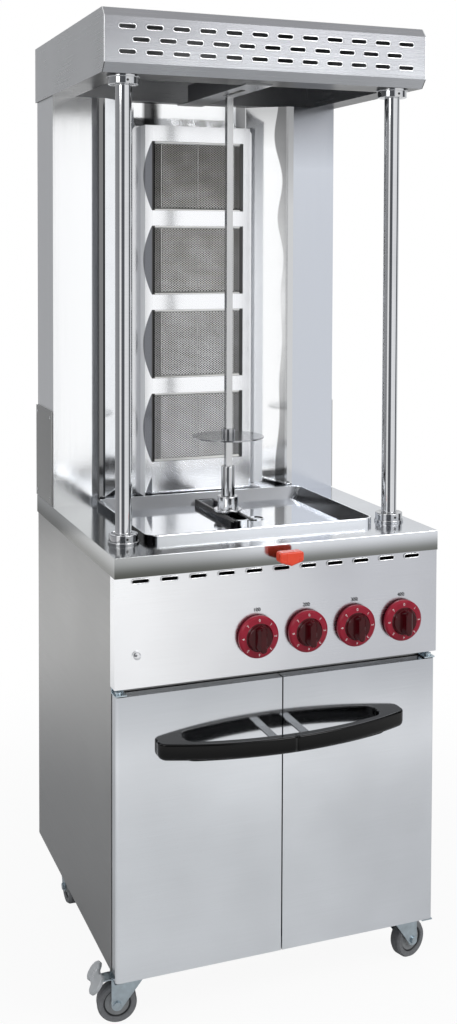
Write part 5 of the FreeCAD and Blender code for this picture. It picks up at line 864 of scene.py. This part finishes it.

# The reflector is polished, and its left wing is flatter near the mouth. Along the right wing's
# edge a dark band is painted as a reflection, whose inner line wanders as a sine with the burner
# pitch, comes in furthest at the top and the foot and is darkest there. Over the column two dark
# patches are painted as reflections of the hood's inside, and the top right is painted shade. The
# flange past the left mouth edge is painted near black, and the right flange a grey that darkens
# towards the top, both as painted shade.
wall_steel, tree = new_material("reflector_polish")
place = add_node(tree, "TexCoord").outputs["Object"]
x, y, z = add_node(tree, "SeparateXYZ", {0: place}).outputs
haze = add_node(tree, "TexNoise", {"Vector": place, "Scale": 40.0, "Detail": 3.0}).outputs[0]
gloss = add_node(tree, "MapRange", {"Value": haze, 1: 0.3, 2: 0.7, 3: 0.08, 4: 0.12}).outputs[0]
slow = add_node(tree, "TexNoise", {"Vector": place, "Scale": 6.0, "Detail": 0.0}).outputs[0]
skin = add_node(tree, "Bump", {"Height": slow, "Distance": 0.0004}).outputs[0]
flatter = add_node(tree, "MapRange", {"Value": x, 1: -0.20, 2: -0.12}).outputs[0]
skin = add_node(tree, "Bump", {"Height": flatter, "Distance": 0.033, "Normal": skin}).outputs[0]
lean = add_node(tree, "MapRange", {"Value": z, 1: 1.47, 2: 1.61}).outputs[0]
lean = add_node(tree, "Math", {0: lean, 1: lean}, operation="MULTIPLY").outputs[0]
skin = add_node(tree, "Bump", {"Height": lean, "Distance": 0.0206, "Normal": skin}).outputs[0]
phase = add_node(tree, "Math", {0: z, 1: 2 * math.pi / 0.1685,
                                2: math.pi / 2 - 2 * math.pi * 1.375 / 0.1685},
                 operation="MULTIPLY_ADD").outputs[0]
wander = add_node(tree, "Math", {0: phase}, operation="SINE").outputs[0]
swing = add_node(tree, "MapRange", {"Value": z, 1: 1.2, 2: 1.36, 3: 0.0015, 4: 0.005}).outputs[0]
away = add_node(tree, "MapRange", {"Value": z, 1: 1.2, 2: 1.58}, clamp=False).outputs[0]
away = add_node(tree, "Math", {0: away}, operation="ABSOLUTE").outputs[0]
bow = add_node(tree, "Math", {0: away, 1: away}, operation="MULTIPLY").outputs[0]
edge = add_node(tree, "Math", {0: wander, 1: swing, 2: x}, operation="MULTIPLY_ADD").outputs[0]
edge = add_node(tree, "Math", {0: bow, 1: 0.010, 2: edge}, operation="MULTIPLY_ADD").outputs[0]
# Painted reflection: a dark band along the right wing's edge.
beyond = add_node(tree, "MapRange", {"Value": edge, 1: 0.185, 2: 0.187}).outputs[0]
depth = add_node(tree, "MapRange", {"Value": away, 1: 0.0, 2: 1.05, 3: 0.15, 4: 0.84}).outputs[0]
band = add_node(tree, "Math", {0: beyond, 1: depth}, operation="MULTIPLY").outputs[0]
# Painted shade towards the top on the right, under the hood.
top = add_node(tree, "MapRange", {"Value": z, 1: 1.52, 2: 1.60, 3: 0.0, 4: 0.45}).outputs[0]
right = add_node(tree, "MapRange", {"Value": x, 1: 0.100, 2: 0.107}).outputs[0]
dull = add_node(tree, "Math", {0: top, 1: right}, operation="MULTIPLY").outputs[0]
# Painted reflections of the hood's dark inside, over the column.
high = add_node(tree, "MapRange", {"Value": z, 1: 1.553, 2: 1.556}).outputs[0]
first = add_node(tree, "MapRange", {"Value": x, 1: -0.060, 2: -0.078}).outputs[0]
second = add_node(tree, "MapRange", {"Value": x, 1: -0.096, 2: -0.104, 3: 0.9, 4: 0.0}).outputs[0]
third = add_node(tree, "MapRange", {"Value": x, 1: 0.100, 2: 0.103}).outputs[0]
fourth = add_node(tree, "MapRange", {"Value": x, 1: 0.122, 2: 0.126, 3: 1.0, 4: 0.0}).outputs[0]
left_patch = add_node(tree, "Math", {0: first, 1: second}, operation="MULTIPLY").outputs[0]
right_patch = add_node(tree, "Math", {0: third, 1: fourth}, operation="MULTIPLY").outputs[0]
right_patch = add_node(tree, "Math", {0: right_patch, 1: 0.75}, operation="MULTIPLY").outputs[0]
patch = add_node(tree, "Math", {0: left_patch, 1: right_patch}, operation="ADD").outputs[0]
patch = add_node(tree, "Math", {0: patch, 1: high}, operation="MULTIPLY").outputs[0]
share = add_node(tree, "Math", {0: band, 1: dull}, operation="MAXIMUM").outputs[0]
share = add_node(tree, "Math", {0: share, 1: patch}, operation="MAXIMUM").outputs[0]
# Painted shade on the flanges past the mouth's edges, the right one darker towards the top.
flange = add_node(tree, "MapRange", {"Value": x, 1: -0.1955, 2: -0.1965, 3: 0.0, 4: 0.80}).outputs[0]
share = add_node(tree, "Math", {0: share, 1: flange}, operation="MAXIMUM").outputs[0]
flange = add_node(tree, "MapRange", {"Value": x, 1: 0.1915, 2: 0.1935}).outputs[0]
flange_shade = add_node(tree, "MapRange", {"Value": z, 1: 1.40, 2: 1.60, 3: 0.36, 4: 0.68}).outputs[0]
share = add_node(tree, "Mix", {0: flange, 2: share, 3: flange_shade}).outputs[0]
colour = add_node(tree, "Mix", {"Factor": share, 6: linear("#FDFEFF"), 7: linear("#18181A")},
                  data_type="RGBA").outputs[2]
steel = add_node(tree, "BsdfPrincipled", {"Base Color": colour, "Metallic": 1.0,
                                          "Roughness": gloss, "Normal": skin}).outputs[0]
add_node(tree, "OutputMaterial", {"Surface": steel})
finish_nodes(wall_steel, "reflector")

# The column is satin, rougher on its folded sides. Along its left edge a dark crescent is
# painted beside each burner as a reflection: the way from the window's edge, along the front and
# with three tenths of the depth, stays under 19.5 mm times a power of a cosine that is zero 69 mm
# off the middle. The front also goes a little darker towards its left edge, as painted shade.
column_steel, tree = new_material("column_satin")
place = add_node(tree, "TexCoord").outputs["Object"]
x, y, z = add_node(tree, "SeparateXYZ", {0: place}).outputs
facing = add_node(tree, "SeparateXYZ", {0: add_node(tree, "NewGeometry").outputs["Normal"]}).outputs[0]
sideways = add_node(tree, "Math", {0: facing}, operation="ABSOLUTE").outputs[0]
haze = add_node(tree, "TexNoise", {"Vector": place, "Scale": 40.0, "Detail": 3.0}).outputs[0]
fine = add_node(tree, "MapRange", {"Value": haze, 1: 0.3, 2: 0.7, 3: 0.16, 4: 0.20}).outputs[0]
gloss = add_node(tree, "Math", {0: sideways, 1: 0.35, 2: fine}, operation="MULTIPLY_ADD").outputs[0]
metal = add_node(tree, "MapRange", {"Value": sideways, 3: 1.0, 4: 0.2}).outputs[0]
# Painted reflection: a dark crescent beside each burner along the column's left edge.
phase = add_node(tree, "Math", {0: z, 1: 2 * math.pi / 0.1685, 2: -2 * math.pi * 0.954 / 0.1685},
                 operation="MULTIPLY_ADD").outputs[0]
middle = add_node(tree, "Math", {0: phase}, operation="COSINE").outputs[0]
reach = add_node(tree, "MapRange", {"Value": middle, 1: -0.84, 2: 1.0}).outputs[0]
reach = add_node(tree, "Math", {0: reach, 1: 0.6}, operation="POWER").outputs[0]
reach = add_node(tree, "Math", {0: reach, 1: 0.0195}, operation="MULTIPLY").outputs[0]
way = add_node(tree, "Math", {0: y, 1: 0.3, 2: -0.3 * 0.175 - 0.0975}, operation="MULTIPLY_ADD").outputs[0]
way = add_node(tree, "Math", {0: way, 1: x}, operation="SUBTRACT").outputs[0]
over = add_node(tree, "Math", {0: reach, 1: way}, operation="SUBTRACT").outputs[0]
crescent_shade = add_node(tree, "MapRange", {"Value": over, 1: 0.0, 2: 0.0015}).outputs[0]
start = add_node(tree, "MapRange", {"Value": way, 1: -0.0008, 2: 0.0}).outputs[0]
crescent_shade = add_node(tree, "Math", {0: crescent_shade, 1: start}, operation="MULTIPLY").outputs[0]
# Painted shade: the front goes a little darker towards the left edge.
edge = add_node(tree, "MapRange", {"Value": x, 1: -0.112, 2: -0.095, 3: 0.3, 4: 0.0}).outputs[0]
crescent_shade = add_node(tree, "Math", {0: crescent_shade, 1: edge}, operation="MAXIMUM").outputs[0]
colour = add_node(tree, "Mix", {"Factor": crescent_shade, 6: linear("#FCFDFF"), 7: linear("#74767B")},
                  data_type="RGBA").outputs[2]
slow = add_node(tree, "TexNoise", {"Vector": place, "Scale": 10.0, "Detail": 0.0}).outputs[0]
skin = add_node(tree, "Bump", {"Height": slow, "Distance": 0.0003}).outputs[0]
steel = add_node(tree, "BsdfPrincipled", {"Base Color": colour, "Metallic": metal,
                                          "Roughness": gloss, "Normal": skin}).outputs[0]
add_node(tree, "OutputMaterial", {"Surface": steel})
finish_nodes(column_steel, "burner_column")
for name, x in (("left", -1), ("right", 1)):
    low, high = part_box("access_covers")
    edge = high[0] if x > 0 else low[0]
    spots = [(edge, y, z) for y in (low[1] + 0.010, high[1] - 0.010)
             for z in (low[2] + 0.012, high[2] - 0.012)]
    pan_screws("cover_screws_" + name, spots, (x, 0, 0), 0.003, "frame", screw_steel)
spots = [(x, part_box("housing_back")[1][1], z) for x in (-0.285, 0.285)
         for z in np.linspace(0.85, 1.57, 4)]
pan_screws("housing_screws", spots, (0, 1, 0), 0.0035, "frame", screw_steel)


# Burners
# Four atmospheric burners, each two ceramic plaques behind a frame with a woven gauze of
# heat proof alloy wire, which the flame has tinted grey brown in patches; the wire is also
# painted lighter on the lower burners and darker towards the top, as painted light and shade.
frame_steel = brushed_sheet("frame_sheet", "#AFAEAA", 0.32, (300, 300, 300), groove=0.00003)
gauze_wire, tree = new_material("heat_tinted_wire_with_painted_light")
place = add_node(tree, "TexCoord").outputs["Object"]
level = add_node(tree, "SeparateXYZ", {0: place}).outputs[2]
patch = add_node(tree, "TexNoise", {"Vector": place, "Scale": 24.0, "Detail": 3.0}).outputs[0]
# Painted light and shade: the wire is lighter on the lower burners and darker and browner towards the top;
# the noise patches are heat tint.
high = add_node(tree, "MapRange", {"Value": level, 1: 0.9, 2: 1.5}).outputs[0]
clean = add_node(tree, "Mix", {"Factor": high, 6: linear("#F6F6F7"), 7: linear("#E8E7E3")},
                 data_type="RGBA").outputs[2]
burnt = add_node(tree, "Mix", {"Factor": high, 6: linear("#E6E6E6"), 7: linear("#CBC9C2")},
                 data_type="RGBA").outputs[2]
share = add_node(tree, "MapRange", {"Value": patch, 1: 0.35, 2: 0.65}).outputs[0]
colour = add_node(tree, "Mix", {"Factor": share, 6: clean, 7: burnt}, data_type="RGBA").outputs[2]
# Painted shade: past the outer stays the wire is half as bright.
across = add_node(tree, "SeparateXYZ", {0: place}).outputs[0]
across = add_node(tree, "Math", {0: across}, operation="ABSOLUTE").outputs[0]
side = add_node(tree, "MapRange", {"Value": across, 1: 0.0775, 2: 0.079, 3: 1.0, 4: 0.5}).outputs[0]
colour = add_node(tree, "VectorMath", {0: colour, "Scale": side}, operation="SCALE").outputs[0]
wire = add_node(tree, "BsdfPrincipled", {"Base Color": colour, "Metallic": 0.0,
                                         "Roughness": 0.3}).outputs[0]
add_node(tree, "OutputMaterial", {"Surface": wire})

# The sheet behind the gauze is painted near black as the shade in the gauze's holes, darker still past 78
# mm from the middle; the light rim in front goes dark grey past 91 mm, as painted shade in the gap.
backing_shade, tree = new_material("backing_painted_shade")
place = add_node(tree, "TexCoord").outputs["Object"]
x, y, z = add_node(tree, "SeparateXYZ", {0: place}).outputs
deep = add_node(tree, "MapRange", {"Value": y, 1: 0.1788, 2: 0.1792}).outputs[0]
beside = add_node(tree, "Math", {0: x}, operation="ABSOLUTE").outputs[0]
edge = add_node(tree, "MapRange", {"Value": beside, 1: 0.076, 2: 0.079}).outputs[0]
patch = add_node(tree, "TexNoise", {"Vector": place, "Scale": 30.0, "Detail": 3.0}).outputs[0]
plaque = add_node(tree, "Mix", {"Factor": patch, 6: linear("#1E1D1C"), 7: linear("#2A2928")},
                  data_type="RGBA").outputs[2]
back = add_node(tree, "Mix", {"Factor": edge, 6: plaque, 7: linear("#121211")},
                data_type="RGBA").outputs[2]
side = add_node(tree, "MapRange", {"Value": beside, 1: 0.0905, 2: 0.0915}).outputs[0]
rim_grey = add_node(tree, "Mix", {"Factor": side, 6: linear("#E6E6E4"), 7: linear("#4A4A4A")},
                    data_type="RGBA").outputs[2]
colour = add_node(tree, "Mix", {"Factor": deep, 6: rim_grey, 7: back},
                  data_type="RGBA").outputs[2]
metal = add_node(tree, "MapRange", {"Value": deep, 3: 1.0, 4: 0.0}).outputs[0]
gloss = add_node(tree, "MapRange", {"Value": deep, 3: 0.3, 4: 0.85}).outputs[0]
cloth = add_node(tree, "BsdfPrincipled", {"Base Color": colour, "Metallic": metal,
                                          "Roughness": gloss}).outputs[0]
add_node(tree, "OutputMaterial", {"Surface": cloth})
finish_nodes(backing_shade, "burner_meshes")
cell_wide, cell_high, wire_radius, gauze_y = 0.0065, 0.0046, 0.00072, 0.1781
half_x, half_z = 0.0915, 0.0635


def gauze(name, middle):
    """A plain weave on the slant, with lozenge cells 6.5 mm wide and 4.6 mm high. Wires rise
    or fall by the angle of a cell's diagonal, a pitch apart, and each goes over and under the
    others as a cosine from crossing to crossing; a ring of five points is carried along it.
    Cells whose middle lies outside the window are left out."""
    slant = math.atan2(cell_high, cell_wide)
    pitch = cell_wide * math.sin(slant)
    crossing = pitch / math.sin(2 * slant)
    count = int((half_x * math.sin(slant) + half_z * math.cos(slant)) / pitch)
    steps = int(2 * (half_x * math.cos(slant) + half_z + count * pitch) / crossing)
    ring = np.linspace(0, 2 * np.pi, 5, endpoint=False)
    wire, step, turn = np.meshgrid(np.arange(-count, count + 1), np.arange(-steps, steps + 1), ring,
                                   indexing="ij")
    along = step * crossing / 2
    rise = wire_radius * np.cos(np.pi * (step / 2 + wire))
    grids, keeps = [], []
    for sign in (1, -1):
        run = along - sign * wire * pitch / math.tan(2 * slant)
        depth = gauze_y + sign * rise + wire_radius * np.sin(turn)
        aside = wire * pitch + wire_radius * np.cos(turn)
        x = run * math.cos(slant) - sign * aside * math.sin(slant)
        z = sign * run * math.sin(slant) + aside * math.cos(slant)
        grids.append(np.stack([x, depth, middle + z], -1))
        inside = (abs(x) < half_x) & (abs(z) < half_z)
        keeps.append((inside[:, :-1] & inside[:, 1:]))
    made = grid_object(name, np.concatenate(grids), wrap_v=True, material=gauze_wire,
                       keep=np.concatenate(keeps))
    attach(made, "frame")


stay_wire = brushed_sheet("stay_wire", "#E8E8E6", 0.25, (60, 60, 60), groove=0.0)
for number in range(4):
    gauze(f"burner_gauze_{number + 1}", 0.954 + 0.1685 * number)
# Three straight stay wires per burner hold the gauze off the plaques.
turn = np.linspace(0, 2 * np.pi, 8, endpoint=False)
middles = np.repeat(0.954 + 0.1685 * np.arange(4), 3)
spots = np.tile([-0.0775, 0.0, 0.0775], 4)
ends = np.array([-1, 1]) * half_z
stays = np.stack(np.broadcast_arrays(
    spots[:, None, None] + 0.0008 * np.cos(turn), 0.1766 + 0.0008 * np.sin(turn)[None, None],
    middles[:, None, None] + ends[None, :, None]), -1)
stays = grid_object("gauze_stays", stays, wrap_v=True, material=stay_wire)
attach(stays, "frame")

# Gas boxes are aluminised sheet, the plaques cordierite, the tubes zinc plated and the taps
# cast brass.
box_steel = zinc_plate("aluminised_sheet", "#B7B8B6")
finish_nodes(box_steel, "burner_bodies")
plaque_clay, tree = new_material("cordierite")
place = add_node(tree, "TexCoord").outputs["Object"]
# The holes are painted dark brown as the shade inside them.
holes = add_node(tree, "TexVoronoi", {"Vector": place, "Scale": 420.0,
                                      "Randomness": 0.0}).outputs["Distance"]
deep = add_node(tree, "MapRange", {"Value": holes, 1: 0.2, 2: 0.3}).outputs[0]
colour = add_node(tree, "Mix", {"Factor": deep, 6: linear("#5A4A36"), 7: linear("#DDCDB0")},
                  data_type="RGBA").outputs[2]
clay = add_node(tree, "BsdfPrincipled", {"Base Color": colour, "Roughness": 0.9}).outputs[0]
add_node(tree, "OutputMaterial", {"Surface": clay})
finish_nodes(plaque_clay, "burner_plaques")
finish_nodes(caster_zinc, "gas_manifold", "feed_tubes")
tap_brass = zinc_plate("cast_brass", "#C9A55A")
finish_nodes(tap_brass, "gas_valves", "valve_spindle_1", "valve_spindle_2", "valve_spindle_3",
             "valve_spindle_4")


# Hood
# A box of folded sheet over the posts, satin inside and out. Its front sheet is bevelled
# above and below, has three rows of punched slots, and meets the sides in an open mitre.
hood_steel = brushed_sheet("hood_sheet", "#B7B8BA", 0.30, (7, 7, 800))
shell_steel = brushed_sheet("hood_sheet_painted_shade", "#E6E7E9", 0.30, (7, 7, 800))
# What faces down on the hood shell, mostly inside it, is painted near black as shade.
tree = shell_steel.node_tree
steel = next(n for n in tree.nodes if n.bl_idname == "ShaderNodeBsdfPrincipled")
normal = add_node(tree, "SeparateXYZ", {0: add_node(tree, "NewGeometry").outputs["Normal"]}).outputs[2]
under = add_node(tree, "MapRange", {"Value": normal, 1: -0.4, 2: -0.7}).outputs[0]
clean = steel.inputs["Base Color"].links[0].from_socket
underside_shade = add_node(tree, "Mix", {"Factor": under, 6: clean, 7: linear("#161616")},
                  data_type="RGBA").outputs[2]
tree.links.new(underside_shade, steel.inputs["Base Color"])
finish_nodes(shell_steel, "hood_shell")
finish_nodes(hood_steel, "hood_channel")
# Painted shade: the fascia goes darker towards its top.
fascia_steel = brushed_sheet("fascia_sheet", "#FFFFFF", 0.26, (7, 7, 800), wave=0.0001,
                             gradients=((2, 1.625, 1.700, "#B4B6BA", "#98999D"),), groove=0.000006)
finish_nodes(fascia_steel, "hood_fascia")
hood_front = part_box("hood_fascia")[0][1]
slot_pitch = 0.0477
slots = [((i - (count - 1) / 2) * slot_pitch, hood_front, 1.6635 + row * 0.021)
         for row, count in ((1, 12), (0, 11), (-1, 12)) for i in range(count)]
slot_rims("hood_slot_rims", slots, 0.0145, 0.0035, "frame")
